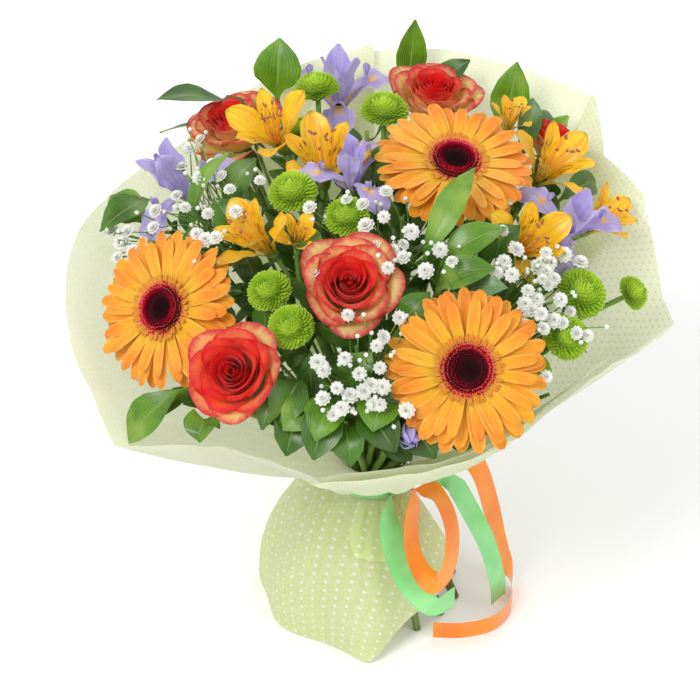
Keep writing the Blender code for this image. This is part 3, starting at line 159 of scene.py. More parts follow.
class Piece:
    """Patches gathered into one mesh. Each point keeps its place across and along its patch, and a tone."""

    def __init__(self):
        self.points, self.quads, self.uvs, self.tones = [], [], [], []
        self.count = 0

    def add(self, points, quads, uvs, tones):
        self.points.append(points)
        self.quads.append(quads + self.count)
        self.uvs.append(uvs)
        self.tones.append(tones)
        self.count += len(points)

    def patch(self, grid, tone=0.5, closed=False, uv=None):
        grid = np.asarray(grid, float)
        n, m, _ = grid.shape
        if uv is None:
            along, across = np.meshgrid(np.linspace(0, 1, n), np.linspace(0, 1, m), indexing="ij")
            uv = np.stack([across, along], -1)
        i, j = np.meshgrid(np.arange(n - 1), np.arange(m if closed else m - 1), indexing="ij")
        after = (j + 1) % m
        quads = np.stack([i * m + j, i * m + after, (i + 1) * m + after, (i + 1) * m + j], -1)
        tones = np.broadcast_to(np.asarray(tone, float), (n, m)).reshape(-1)
        self.add(grid.reshape(-1, 3), quads.reshape(-1, 4), uv.reshape(-1, 2), tones)

    def tube(self, path, radii, sides=8, tone=0.5):
        """A tube along path with rounded ends."""
        path = np.asarray(path, float)
        radii = np.broadcast_to(np.asarray(radii, float), (len(path),))
        ahead = np.gradient(path, axis=0)
        ahead /= np.maximum(np.linalg.norm(ahead, axis=1, keepdims=True), 1e-9)
        across = square_to(ahead[0], (1, 0, 0))
        turns = np.linspace(0, 2 * math.pi, sides, endpoint=False)
        rings = [np.repeat(path[:1], sides, 0)]
        for point, way, radius in zip(path, ahead, radii):
            across = square_to(way, across)
            other = np.cross(way, across)
            rings.append(point + (np.outer(np.cos(turns), across) + np.outer(np.sin(turns), other)) * radius)
        rings.append(np.repeat(path[-1:], sides, 0))
        self.patch(np.array(rings), tone, closed=True)

    def bead(self, centre, axis, profile, sides=8, tone=0.5, scale=1.0):
        """A turned bump: profile lists (height, radius) along axis, before scale."""
        axis = unit(axis)
        across = square_to(axis, (1, 0, 0))
        other = np.cross(axis, across)
        turns = np.linspace(0, 2 * math.pi, sides, endpoint=False)
        round_way = np.outer(np.cos(turns), across) + np.outer(np.sin(turns), other)
        rings = [centre + (axis * height + round_way * radius) * scale for height, radius in profile]
        self.patch(np.array(rings), tone, closed=True)

    def stamp(self, pattern, centre, axis, hint, scale=1.0, tone=0.0):
        """A copy of another piece's patches, its own +Z turned along axis."""
        axis = unit(axis)
        across = square_to(axis, hint)
        turn = np.stack([across, np.cross(axis, across), axis])
        for points, quads, uvs, tones in pattern.parts():
            self.add(points @ turn * scale + centre, quads, uvs, tones + tone)

    def parts(self):
        starts = np.cumsum([0] + [len(p) for p in self.points])
        for k, points in enumerate(self.points):
            yield points, self.quads[k] - starts[k], self.uvs[k], self.tones[k]

    def make(self, name, look, slot, *nodes):
        points = (np.concatenate(self.points) + CENTRING) * MM
        # The cut ends of slanting stems lie level on the floor
        points[:, 2] = np.maximum(points[:, 2], 0.0)
        quads = np.concatenate(self.quads).astype(np.int32)
        uvs = np.concatenate(self.uvs)
        mesh = bpy.data.meshes.new(name)
        mesh.vertices.add(len(points))
        mesh.vertices.foreach_set("co", points.reshape(-1))
        mesh.loops.add(quads.size)
        mesh.loops.foreach_set("vertex_index", quads.reshape(-1))
        mesh.polygons.add(len(quads))
        mesh.polygons.foreach_set("loop_start", np.arange(0, quads.size, 4, dtype=np.int32))
        mesh.update(calc_edges=True)
        layer = mesh.uv_layers.new(name="Petal")
        layer.data.foreach_set("uv", uvs[quads.reshape(-1)].astype(np.float32).reshape(-1))
        tones = mesh.attributes.new("tone", "FLOAT", "POINT")
        tones.data.foreach_set("value", np.concatenate(self.tones).astype(np.float32))
        mesh.shade_smooth()
        mesh.materials.append(LOOKS[look])
        made = bpy.data.objects.new(name, mesh)
        bpy.context.scene.collection.objects.link(made)
        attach(made, "root")
        if nodes:
            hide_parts(*nodes)
        return made


def smooth(points, count):
    """count points on a smooth curve through the given ones."""
    points = np.asarray(points, float)
    ends = [2 * points[0] - points[1], *points, 2 * points[-1] - points[-2]]
    lengths = np.cumsum([0] + [np.linalg.norm(b - a) for a, b in zip(points, points[1:])])
    made = []
    for reach in np.linspace(0, lengths[-1], count):
        k = min(int(np.searchsorted(lengths, reach, "right")) - 1, len(points) - 2)
        t = (reach - lengths[k]) / max(lengths[k + 1] - lengths[k], 1e-9)
        a, b, c, d = ends[k : k + 4]
        square, cube = 2 * a - 5 * b + 4 * c - d, 3 * b - a - 3 * c + d
        made.append(0.5 * (2 * b + (c - a) * t + square * t**2 + cube * t**3))
    return np.array(made)


def table(pairs, t):
    """Values read at t from (place, value) pairs, on straight lines between them."""
    places, values = zip(*pairs)
    return np.interp(t, places, values)


def strip_grid(spine, side, normal, off, lift):
    """Points off to the side of a spine and lifted from it, row by row."""
    return spine[:, None] + side[:, None] * off[..., None] + normal[:, None] * lift[..., None]


RIDGES = 3


def petal(root, out, up, length, width, form, bend, rows, columns, cup=0.0, ruffle=0.0, waves=2.5,
          phase=0.0, ridge=0.0, twist=0.0):
    """A grid of one petal or leaf that leaves root along out and rises by the angles of bend."""
    t, s = np.linspace(0, 1, rows), np.linspace(-1, 1, columns)
    angle = np.radians(np.interp(t, np.linspace(0, 1, len(bend)), bend))
    tangent = np.outer(np.cos(angle), out) + np.outer(np.sin(angle), up)
    steps = (tangent[1:] + tangent[:-1]) / 2 * length / (rows - 1)
    spine = root + np.concatenate([[np.zeros(3)], np.cumsum(steps, axis=0)])
    flat = np.cross(up, out)
    normal = np.cross(tangent, flat)
    turn = np.radians(twist) * t
    side = flat * np.cos(turn)[:, None] + normal * np.sin(turn)[:, None]
    normal = np.cross(tangent, side)
    half = width / 2 * table(form, t)
    lift = cup * half[:, None] * s**2
    wave = np.sin(2 * math.pi * waves * t + phase) * np.minimum(1, 2 * t)
    lift = lift + ruffle * np.outer(wave, np.abs(s) ** 1.5)
    lift = lift + ridge * np.outer(np.minimum(1, half / width * 2), np.cos(math.pi * RIDGES * s))
    return strip_grid(spine, side, normal, half[:, None] * s, lift)


# Materials

COAT_ROUGHNESS = 0.25
SHEEN_ROUGHNESS = 0.45


class Look:
    """A procedural material, built up step by step from sockets. Colours are given as on screen, 0 to 255."""

    def __init__(self, name, roughness, through=0.0, sheen=0.0, coat=0.0, specular=0.5):
        self.material = bpy.data.materials.new(name)
        self.material.use_nodes = True
        self.tree = self.material.node_tree
        self.shader = self.tree.nodes["Principled BSDF"]
        self.through = through
        for socket, value in (
            ("Roughness", roughness),
            ("Sheen Weight", sheen),
            ("Coat Weight", coat),
            ("Specular IOR Level", specular),
            ("Coat Roughness", COAT_ROUGHNESS),
            ("Sheen Roughness", SHEEN_ROUGHNESS),
        ):
            self.shader.inputs[socket].default_value = value

    def node(self, kind, *inputs, **settings):
        made = self.tree.nodes.new(kind)
        for key, value in settings.items():
            setattr(made, key, value)
        for socket, value in zip(made.inputs, inputs):
            if isinstance(value, bpy.types.NodeSocket):
                self.tree.links.new(value, socket)
            elif value is not None:
                socket.default_value = value
        return made

    def math(self, operation, a, b=0.0, c=0.0, clamp=False):
        return self.node("ShaderNodeMath", a, b, c, operation=operation, use_clamp=clamp).outputs[0]

    def times(self, a, b):
        return self.math("MULTIPLY", a, b)

    def uv(self):
        """The place in the mesh's UV map, across and along."""
        spot = self.node("ShaderNodeUVMap", uv_map="Petal").outputs[0]
        return self.node("ShaderNodeSeparateXYZ", spot).outputs[:2]

    def from_middle(self):
        """From 0 in the petal's middle to 1 at either side."""
        return self.math("ABSOLUTE", self.across())

    def across(self):
        """From -1 to 1 across the petal."""
        return self.math("MULTIPLY_ADD", self.uv()[0], 2.0, -1.0)

    def along(self):
        """From 0 at the petal's root to 1 at its tip."""
        return self.uv()[1]

    def tone(self):
        return self.node("ShaderNodeAttribute", attribute_name="tone").outputs["Fac"]

    def place(self):
        return self.node("ShaderNodeTexCoord").outputs["Object"]

    def noise(self, scale, detail=3.0, vector=None, rough=0.55):
        made = self.node("ShaderNodeTexNoise", vector or self.place())
        made.inputs["Scale"].default_value = scale
        made.inputs["Detail"].default_value = detail
        made.inputs["Roughness"].default_value = rough
        return made.outputs["Fac"]

    def streaks(self, across, along, detail=2.0):
        """Noise in the petal's own coordinates, scaled across and along, different on each petal."""
        x, y = (self.times(spot, scale) for spot, scale in zip(self.uv(), (across, along)))
        z = self.times(self.tone(), 37.0)
        return self.noise(1.0, detail, self.node("ShaderNodeCombineXYZ", x, y, z).outputs[0])

    def step(self, value, low, high):
        """0 below low and 1 above high, eased between them."""
        return self.node("ShaderNodeMapRange", value, low, high, interpolation_type="SMOOTHSTEP").outputs[0]

    def fade(self, value, low, high):
        """1 below low and 0 above high."""
        return self.math("SUBTRACT", 1.0, self.step(value, low, high))

    def mix(self, share, a, b, most=1.0):
        """The colour a where share is 0, and b by as much as most where it is 1."""
        if most < 1:
            share = self.times(share, most)
        a, b = (rgb(*colour) if isinstance(colour, tuple) else colour for colour in (a, b))
        return self.node("ShaderNodeMix", share, *[None] * 5, a, b, data_type="RGBA").outputs[2]

    def bump(self, height, distance):
        """distance is how deep the pattern is, in millimetres."""
        last = self.shader.inputs["Normal"].links
        made = self.node("ShaderNodeBump")
        made.inputs["Distance"].default_value = distance * MM
        self.tree.links.new(height, made.inputs["Height"])
        if last:
            self.tree.links.new(last[0].from_socket, made.inputs["Normal"])
        self.tree.links.new(made.outputs[0], self.shader.inputs["Normal"])

    def done(self, colour, *bumps):
        """Sets the bumps and the colour and, for a thin piece, lets some light through in that colour."""
        for height, distance in bumps:
            self.bump(height, distance)
        self.tree.links.new(colour, self.shader.inputs["Base Color"])
        if self.through:
            light = self.node("ShaderNodeBsdfTranslucent")
            self.tree.links.new(colour, light.inputs["Color"])
            both = self.node("ShaderNodeMixShader", self.through, self.shader.outputs[0], light.outputs[0])
            self.tree.links.new(both.outputs[0], self.tree.nodes["Material Output"].inputs["Surface"])
        return self.material


def varied(look, colour, darker, scale, amount):
    """A colour with soft patches of a darker one, and a small shift from petal to petal."""
    patches = look.step(look.noise(scale), 0.35, 0.75)
    shift = look.times(look.tone(), 0.5)
    return look.mix(look.math("ADD", patches, shift, clamp=True), colour, darker, amount)


def gerbera_look():
    look = Look("gerbera petal", 0.5, through=0.22, sheen=0.15)
    warm = varied(look, (255, 188, 46), (250, 148, 26), 50, 0.9)
    heart = look.mix(look.step(look.along(), 0.1, 0.85), (255, 212, 38), warm)
    tinted = look.mix(look.step(look.from_middle(), 0.55, 1.0), heart, (255, 206, 96), 0.45)
    lines = look.streaks(26.0, 2.2)
    colour = look.mix(look.step(lines, 0.42, 0.68), tinted, (240, 118, 12), 0.36)
    return look.done(colour, (lines, 0.7), (look.noise(900), 0.06))


def disc_look():
    look = Look("gerbera disc", 0.7, specular=0.2)
    tone = look.tone()
    base = look.mix(look.step(tone, 0.24, 0.5), (30, 2, 6), (150, 12, 40))
    base = look.mix(look.step(tone, 0.5, 0.8), base, (206, 24, 64))
    tip = look.times(look.step(look.along(), 0.68, 0.9), look.step(tone, 0.6, 0.9))
    return look.done(look.mix(tip, base, (252, 150, 110), 0.8), (look.noise(1400), 0.12))


def rose_look():
    look = Look("rose petal", 0.55, through=0.42, sheen=0.15)
    along, tone = look.along(), look.tone()
    inner = look.mix(look.step(along, 0.15, 0.8), (252, 92, 38), (244, 40, 26))
    middle = look.mix(look.step(along, 0.2, 0.9), (253, 200, 104), (252, 96, 56))
    outer = look.mix(look.step(along, 0.0, 0.7), (240, 230, 140), (252, 220, 146))
    body = look.mix(look.step(tone, 0.3, 0.55), inner, middle)
    body = look.mix(look.step(tone, 0.6, 0.82), body, outer)
    veins = look.streaks(16.0, 3.0, 3.0)
    side = look.math("POWER", look.from_middle(), 5.0)
    rim = look.math("MAXIMUM", look.times(side, 0.9), along)
    rim = look.math("ADD", rim, look.math("MULTIPLY_ADD", veins, 0.22, -0.11))
    red = look.mix(look.step(tone, 0.3, 0.9), (226, 18, 20), (210, 18, 56))
    colour = look.mix(look.step(rim, 0.78, 1.0), body, red, 0.95)
    return look.done(colour, (veins, 0.25), (look.noise(1200), 0.05))


def pompon_look():
    look = Look("button chrysanthemum", 0.5, through=0.32, sheen=0.1)
    along = look.along()
    green = varied(look, (200, 228, 70), (170, 208, 44), 90, 0.7)
    colour = look.mix(look.step(along, 0.05, 0.75), (124, 170, 22), green)
    colour = look.mix(look.step(along, 0.86, 1.0), colour, (212, 238, 124))
    return look.done(colour, (look.streaks(9.0, 2.0), 0.1))


def lily_look():
    look = Look("alstroemeria petal", 0.42, through=0.22, sheen=0.1, coat=0.1)
    along = look.along()
    gold = varied(look, (255, 216, 40), (246, 190, 24), 70, 0.7)
    lines = look.streaks(15.0, 1.6)
    flush = look.times(look.step(lines, 0.45, 0.7), look.step(along, 0.25, 0.95))
    colour = look.mix(flush, gold, (228, 96, 34), 0.6)
    colour = look.mix(look.step(along, 0.02, 0.3), (150, 160, 40), colour)
    # Dark dashes, on the inner petals only
    marks = look.times(look.step(look.streaks(24.0, 7.0, 0.0), 0.6, 0.66), look.step(look.tone(), 0.55, 0.6))
    colour = look.mix(look.times(marks, look.fade(along, 0.6, 0.85)), colour, (84, 14, 20))
    colour = look.mix(look.step(along, 0.93, 1.0), colour, (120, 150, 50), 0.7)
    return look.done(colour, (lines, 0.2))


def stamen_look():
    look = Look("stamen", 0.5, sheen=0.1)
    colour = look.mix(look.step(look.tone(), 0.5, 0.9), (240, 170, 60), (150, 96, 60))
    colour = look.mix(look.noise(400), colour, (220, 90, 30), 0.3)
    return look.done(colour, (look.noise(1500), 0.08))


def iris_look():
    look = Look("iris petal", 0.5, through=0.25, sheen=0.2)
    sides = look.from_middle()
    violet = varied(look, (208, 198, 240), (178, 160, 228), 60, 0.7)
    veins = look.streaks(22.0, 1.4)
    colour = look.mix(look.step(veins, 0.45, 0.66), violet, (128, 104, 200), 0.4)
    colour = look.mix(look.step(sides, 0.7, 1.0), colour, (214, 208, 246), 0.4)
    # The yellow patch on the falls
    patch = look.times(look.fade(sides, 0.16, 0.46), look.fade(look.along(), 0.5, 0.74))
    colour = look.mix(look.times(patch, look.step(look.tone(), 0.8, 0.85)), colour, (252, 196, 40))
    return look.done(colour, (veins, 0.22), (look.noise(900), 0.05))


def mist_look():
    look = Look("gypsophila floret", 0.6, through=0.4, sheen=0.1)
    white = varied(look, (254, 254, 250), (242, 244, 236), 200, 0.6)
    # The floret's heart, where the petals start, is a greyer green: painted shade
    colour = look.mix(look.step(look.along(), 0.0, 0.3), (232, 238, 214), white)
    return look.done(colour, (look.streaks(7.0, 1.5, 1.0), 0.12))


def stem_look(name, green, dark, cut):
    """Plant stem: fine lengthwise ribs, with brown freckles towards its cut foot."""
    look = Look(name, 0.48, coat=0.08)
    patches = varied(look, green, dark, 45, 0.8)
    ribs = look.streaks(16.0, 3.0)
    height = look.node("ShaderNodeSeparateXYZ", look.place()).outputs[2]
    freckles = look.math("MULTIPLY_ADD", look.step(look.noise(300), 0.35, 0.7), 0.5, 0.5)
    aged = look.mix(look.times(look.fade(height, 0.02, 0.11), freckles), patches, cut)
    colour = look.mix(look.step(ribs, 0.4, 0.7), aged, dark, 0.3)
    return look.done(colour, (ribs, 0.3), (look.noise(700), 0.08))


def leaf_look(name, green, dark, vein_and_sheen_colour, gloss=0.3):
    """A leaf with parallel veins, a lighter midrib and painted sheen: its light colour lightens the veins and
    lies in soft patches over parts of it.
    """
    look = Look(name, gloss, through=0.2, coat=0.28)
    base = varied(look, green, dark, 45, 0.85)
    lines = look.math("SINE", look.times(look.across(), 42.0))
    veins = look.math("ADD", look.times(lines, 0.16), look.streaks(60.0, 3.0))
    colour = look.mix(look.step(veins, 0.35, 0.85), base, vein_and_sheen_colour, 0.24)
    rib = look.fade(look.from_middle(), 0.015, 0.07)
    colour = look.mix(rib, colour, (150, 184, 96), 0.55)
    # Painted sheen: soft patches of the light colour over parts of the leaf
    colour = look.mix(look.step(look.noise(28, 2.0), 0.5, 0.72), colour, vein_and_sheen_colour, 0.4)
    return look.done(colour, (veins, 0.16), (rib, 0.3))


def cloth_look(name, plain, deep, dot, apart, size, strength):
    """Thin non-woven cloth with staggered printed dots; its UV map is the flat cloth, in millimetres."""
    look = Look(name, 0.72, through=0.42, sheen=0.25, specular=0.3)
    fibres = look.noise(420, 6.0, rough=0.75)
    clouds = look.step(look.noise(22), 0.4, 0.75)
    base = look.mix(look.step(fibres, 0.35, 0.7), plain, deep)
    base = look.mix(clouds, base, deep, 0.35)
    column, row = (look.math("DIVIDE", spot, step) for spot, step in zip(look.uv(), apart))
    # Every other column of dots is half a step further along
    odd = look.times(look.math("FLOORED_MODULO", look.math("FLOOR", column), 2.0), 0.5)
    reach = []
    for spot, step, wide in zip((column, look.math("ADD", row, odd)), apart, size):
        off = look.math("SUBTRACT", look.math("FLOORED_MODULO", spot, 1.0), 0.5)
        off = look.times(off, step / wide * 2)
        reach.append(look.times(off, off))
    mark = look.fade(look.math("ADD", *reach), 0.7, 1.25)
    colour = look.mix(mark, base, dot, strength)
    return look.done(colour, (fibres, 0.10), (look.noise(60, 4.0), 0.5), (mark, 0.05))


def satin_look(name, bright, deep):
    """Satin ribbon: fine weft lines across it and a soft sheen."""
    look = Look(name, 0.30, through=0.12, sheen=0.5, specular=0.6)
    look.shader.inputs["Anisotropic"].default_value = 0.6
    colour = look.mix(look.step(look.noise(40, 2.0), 0.35, 0.7), bright, deep, 0.5)
    edge = look.step(look.from_middle(), 0.86, 0.95)
    colour = look.mix(edge, colour, deep, 0.4)
    return look.done(colour, (look.streaks(4.0, 900.0), 0.06), (edge, 0.08))


DOTS = (4.2, 4.2)
SKIRT_DOTS = (11.8, 6.3)
WHITE = (254, 254, 250)
LOOKS = {
    "gerbera": gerbera_look(),
    "disc": disc_look(),
    "rose": rose_look(),
    "pompon": pompon_look(),
    "lily": lily_look(),
    "stamen": stamen_look(),
    "iris": iris_look(),
    "mist": mist_look(),
    "stem": stem_look("flower stem", (112, 140, 56), (84, 104, 40), (112, 96, 60)),
    "stalk": stem_look("thin stalk", (140, 176, 84), (104, 146, 60), (112, 120, 60)),
    # The third colour of each leaf look lightens its veins and, in soft patches, is painted sheen
    "leaf": leaf_look("leaf", (104, 156, 20), (54, 106, 8), (176, 204, 100)),
    # A darker copy of the leaf look, for the filler leaves deep in the bouquet: painted shade
    "leaf in painted shade": leaf_look("inner leaf, darker for painted shade", (72, 124, 14), (32, 74, 6), (128, 164, 70)),
    "grey leaf": leaf_look("grey-green leaf", (128, 162, 112), (94, 136, 80), (176, 196, 164), 0.42),
    "collar": cloth_look("wrap collar", (247, 250, 226), (236, 242, 200), WHITE, DOTS, (1.5, 1.5), 0.6),
    "lilac collar": cloth_look(
        "wrap collar, dotted", (246, 249, 226), (234, 241, 200), (200, 196, 200), DOTS, (1.4, 1.4), 0.45
    ),
    "skirt": cloth_look("wrap skirt", (236, 242, 196), (220, 231, 160), WHITE, SKIRT_DOTS, (3.4, 2.3), 0.9),
    "green ribbon": satin_look("green satin", (150, 226, 144), (106, 202, 106)),
    "orange ribbon": satin_look("orange satin", (255, 150, 22), (244, 106, 2)),
}


# Stems


def node_points(name):
    """A CAD node's corners in the layout's millimetres, each once."""
    spots = np.array([tuple(v.co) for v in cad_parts[name].data.vertices]) / MM - CENTRING
    return np.unique(np.round(spots, 2), axis=0)


RING_GAP = 4.0
RING_POINTS = 5


def stem_line(name):
    """The middles of the rings that a CAD stem is made of, from the floor up."""
    spots = node_points(name)
    spots = spots[np.argsort(spots[:, 2])]
    line = []
    ring = [spots[0]]
    for spot in spots[1:]:
        if spot[2] - ring[-1][2] > RING_GAP:
            if len(ring) != RING_POINTS:
                return line
            line.append(np.mean(ring, axis=0))
            ring = []
        ring.append(spot)
    return line


# The CAD stem is followed to STEM_CLEAR below the end. The last STEM_STRAIGHT points as the flower faces.
STEM_CLEAR = 16.0
STEM_STRAIGHT = 12.0
STEM_RINGS = 34
STEM_SIDES = 12
STEM_UNEVEN = 0.04


def stem_piece(piece, name, end, facing, radius):
    """The stem as a smooth tube from its cut foot to end, where it points along facing."""
    line = [p for p in stem_line(name) if p[2] < end[2] - STEM_CLEAR]
    path = smooth([*line, end - facing * STEM_STRAIGHT, end], STEM_RINGS)
    piece.tube(path, radius * (1 + STEM_UNEVEN * np.sin(np.arange(STEM_RINGS) * 1.7)), STEM_SIDES)
    return path


# Gerberas: (name, x, y, lift above the dome, facing azimuth, facing elevation, roll)
GERBERAS = (
    ("left", -135, -66, -1, -40, 37, 0),
    ("right", 55, -134, 8, 5, 42, 8),
    ("top", 51, 9, 10, 15, 71, 4),
)
GERBERA_STEM = 3.2
RAY = ((0, 0.42), (0.12, 0.62), (0.35, 0.9), (0.62, 1.0), (0.82, 0.95), (0.94, 0.7), (1, 0.26))
# Rings of ray petals: count, ring radius, level, length, width, bend
RAY_RINGS = (
    (26, 9.5, -2.6, 42.5, 10.6, (4, -2, -14)),
    (25, 9.5, -0.6, 41.5, 10.2, (10, 3, -9)),
    (19, 10.5, 0.8, 35.0, 8.0, (18, 8, 0)),
    (30, 13.0, 2.0, 10.0, 3.2, (42, 26, 6)),
)
FRINGE = ((0, 0.5), (0.5, 1.0), (0.85, 0.8), (1, 0.2))
# Rings of disc florets: count, ring radius, level, length, width, bend, tone
DISC_RINGS = (
    (76, 14.4, 2.6, 5.0, 1.3, (30, 46, 10), 1.0),
    (72, 13.2, 3.4, 5.2, 1.3, (44, 66, 40), 0.95),
    (66, 12.0, 4.2, 4.6, 1.3, (62, 80, 60), 0.85),
    (58, 10.8, 4.6, 4.0, 1.3, (80, 96, 100), 0.62),
    (50, 9.6, 4.6, 3.4, 1.2, (86, 104, 110), 0.45),
)
# The disc's buds: how many, the radius that they fill, and the profile of one
DISC_BUDS = 210
DISC_HEART = 9.0
BUD = ((-0.4, 0.42), (0.5, 0.46), (1.0, 0.28), (1.15, 0.01))
DISC = ((0, 13), (2.0, 15.0), (4.4, 13.5), (4.9, 10.2), (4.2, 7), (4.4, 3), (4.6, 0.01))
# The green cup under the head, and its scales in two rings
CUP = ((-17, 2.6), (-13, 5.2), (-8, 8.2), (-3.2, 9.6), (-2.7, 9.4))
SCALES = 13


def gerbera(name, x, y, lift, azimuth, elevation, roll):
    chance = random.Random(name)
    place, facing = on_dome(x, y, lift), aim(azimuth, elevation)
    way = spokes(facing)

    def ring(piece, count, radius, level, length, width, bend, form, tone, rough, rows, columns, **shape):
        for k in range(count):
            out = way(2 * math.pi * (k + chance.uniform(-0.22, 0.22)) / count + roll + level)
            lean = chance.uniform(-rough, rough)
            grid = petal(
                place + out * radius + facing * level, out, facing,
                length * chance.uniform(0.93, 1.03), width * chance.uniform(0.9, 1.1), form,
                [b + lean for b in bend], rows, columns, twist=chance.uniform(-2.8, 2.8) * rough, **shape,
            )
            piece.patch(grid, chance.random() if tone is None else tone)

    petals = Piece()
    for count, radius, level, length, width, bend in RAY_RINGS:
        ring(petals, count, radius, level, length, width, bend, RAY, None, 5, 16, 9, cup=0.18, ridge=0.22)
    petals.make(f"gerbera_{name}_rays", "gerbera", "gerbera_petal", f"gerbera_{name}_petals")

    disc = Piece()
    disc.bead(place, facing, DISC, 40, 0.3)
    for count, radius, level, length, width, bend, tone in DISC_RINGS:
        ring(disc, count, radius, level, length, width, bend, FRINGE, tone, 8, 6, 3, cup=0.5)
    for k in range(DISC_BUDS):
        share = math.sqrt((k + 0.5) / DISC_BUDS)
        spot = place + way(k * GOLDEN) * DISC_HEART * share + facing * (4.3 + 0.5 * math.cos(share * 3))
        disc.bead(spot, facing, BUD, 6, 0.12 + 0.2 * share)
    disc.make(f"gerbera_{name}_florets", "disc", "gerbera_disc", f"gerbera_{name}_disc")

    stem = Piece()
    stem_piece(stem, f"gerbera_{name}_stem", place - facing * 10, facing, GERBERA_STEM)
    stem.bead(place, facing, CUP, 24)
    for below, turned in ((11, 0), (8, 0.24)):
        for k in range(SCALES):
            out = way(2 * math.pi * k / SCALES + turned)
            root = place - facing * below + out * 7
            stem.patch(petal(root, out, facing, 9, 3.2, FRINGE, (62, 48, 20), 6, 3, cup=0.3))
    stem.make(f"gerbera_{name}_stalk", "stem", "stem", f"gerbera_{name}_stem")


# Roses: (name, x, y, lift, facing azimuth, facing elevation, size, how far the outer petals open, how creamy)
ROSES = (
    ("centre", -18, -90, 8, 5, 52, 1.0, 1.0, 1.0),
    ("left", -88, -127, 7, -18, 44, 0.98, 0.9, 0.78),
    ("back_left", -98, 105, 0, -70, 72, 1.0, 1.3, 1.2),
    ("back", 41, 124, 1, 40, 80, 1.0, 1.1, 1.1),
    ("far_right", 122, 88, 4, 100, 64, 0.72, 0.9, 0.8),
)
ROSE_STEM = 3.4
ROSE_DEPTH = 20.4
ROSE_PETALS = 38
ROSE_FLOOR = 4.0
# From the innermost petal (0) to the outermost (1): the spine's angle from the axis at five places along it
ROSE_SPINES = (
    (0.0, (10, 3, -2, -4, 8)),
    (0.45, (28, 12, 2, -2, 34)),
    (0.72, (44, 26, 12, 14, 84)),
    (1.0, (54, 46, 40, 48, 112)),
)
ROSE_RADII = ((0, 1.2), (0.45, 5.5), (0.72, 8.5), (1, 10.5))
ROSE_LENGTHS = ((0, 30), (0.45, 31), (0.72, 32.5), (1, 33.5))
ROSE_WIDTHS = ((0, 13), (0.3, 25), (0.6, 34), (1, 42))
ROSE_ROUND = 0.34
ROSE_STEPS = 59
ROSE_HIP = ((-13, 3.4), (-9, 5.6), (-4, 6.6), (0, 6.0), (2, 5.0))
SEPAL = ((0, 0.7), (0.3, 1.0), (0.7, 0.4), (1, 0.04))


def rose_petal(base, facing, side, other, turn, u, opened, size, chance):
    """One petal, a patch of a cup round the rose's axis. u is 0 for the innermost and 1 for the outermost."""
    fine = np.linspace(0, 1, ROSE_STEPS + 1)
    spines = np.array([row for _, row in ROSE_SPINES], float)
    keys = [key for key, _ in ROSE_SPINES]
    row = np.array([np.interp(u, keys, spines[:, k]) for k in range(5)])
    row = row * (1 + (opened - 1) * u) + chance.uniform(-3, 3)
    angle = np.radians(np.interp(fine, np.linspace(0, 1, 5), row))
    length = table(ROSE_LENGTHS, u) * chance.uniform(0.96, 1.03)
    out = table(ROSE_RADII, u) + np.concatenate([[0], np.cumsum(np.sin(angle)[:-1])]) * length / ROSE_STEPS
    high = ROSE_FLOOR + np.concatenate([[0], np.cumsum(np.cos(angle)[:-1])]) * length / ROSE_STEPS
    rows, columns = 14, 13
    t, s = np.linspace(0, 1, rows)[:, None], np.linspace(-1, 1, columns)[None, :]
    point_like = ROSE_ROUND * np.abs(s) ** 2.4 + 0.05 * u * np.maximum(0, 0.25 - np.abs(s)) * -4
    along = np.clip(t * (1 - point_like), 0, 1)
    r = np.interp(along, fine, out)
    h = np.interp(along, fine, high)
    top = max(np.max(out), 3.0)
    half = min(2.6, table(ROSE_WIDTHS, u) / 2 / (0.62 * top + 1.2))
    fan = np.interp(along, (0, 0.3, 0.7, 1), (0.62, 0.86, 1.0, 0.94))
    phi = turn + half * s * fan
    r = r + (0.9 + 0.8 * u) * s * (0.3 + along)
    r = r + u * np.sin(s * 5 + turn * 3) * along**3
    h = h + u * 1.2 * np.cos(s * 4 + turn * 5) * along**3
    radial = np.cos(phi)[..., None] * side + np.sin(phi)[..., None] * other
    return base + (h[..., None] * facing + radial * r[..., None]) * size, along


def rose(name, x, y, lift, azimuth, elevation, size, opened, cream):
    chance = random.Random(name)
    place, facing = on_dome(x, y, lift), aim(azimuth, elevation)
    base = place - facing * ROSE_DEPTH * size
    side = square_to(facing, (1, 0, 0))
    other = np.cross(facing, side)
    bloom = Piece()
    for k in range(ROSE_PETALS):
        u = (k / (ROSE_PETALS - 1)) ** 0.9
        turn = k * GOLDEN + chance.uniform(-0.2, 0.2)
        grid, along = rose_petal(base, facing, side, other, turn, u, opened, size, chance)
        across = np.broadcast_to(np.linspace(0, 1, grid.shape[1]), along.shape)
        rim = np.linspace(0, 1, grid.shape[0])[:, None] * np.ones_like(along)
        bloom.patch(grid, u * cream, uv=np.stack([across, rim], -1))
    bloom.make(f"rose_{name}_corolla", "rose", "rose_petal", f"rose_{name}_bloom")
    stem = Piece()
    stem_piece(stem, f"rose_{name}_stem", base - facing * 8, facing, ROSE_STEM)
    stem.bead(base, facing, ROSE_HIP, 20, scale=size)
    for k in range(5):
        out = spokes(facing)(2 * math.pi * (k + 0.3) / 5)
        root, bend = base + out * 4.6 * size, (10, -50, -75, -60)
        stem.patch(petal(root, out, facing, 22 * size, 7 * size, SEPAL, bend, 12, 5, cup=0.3, twist=30))
    stem.make(f"rose_{name}_stalk", "stem", "stem", f"rose_{name}_stem")


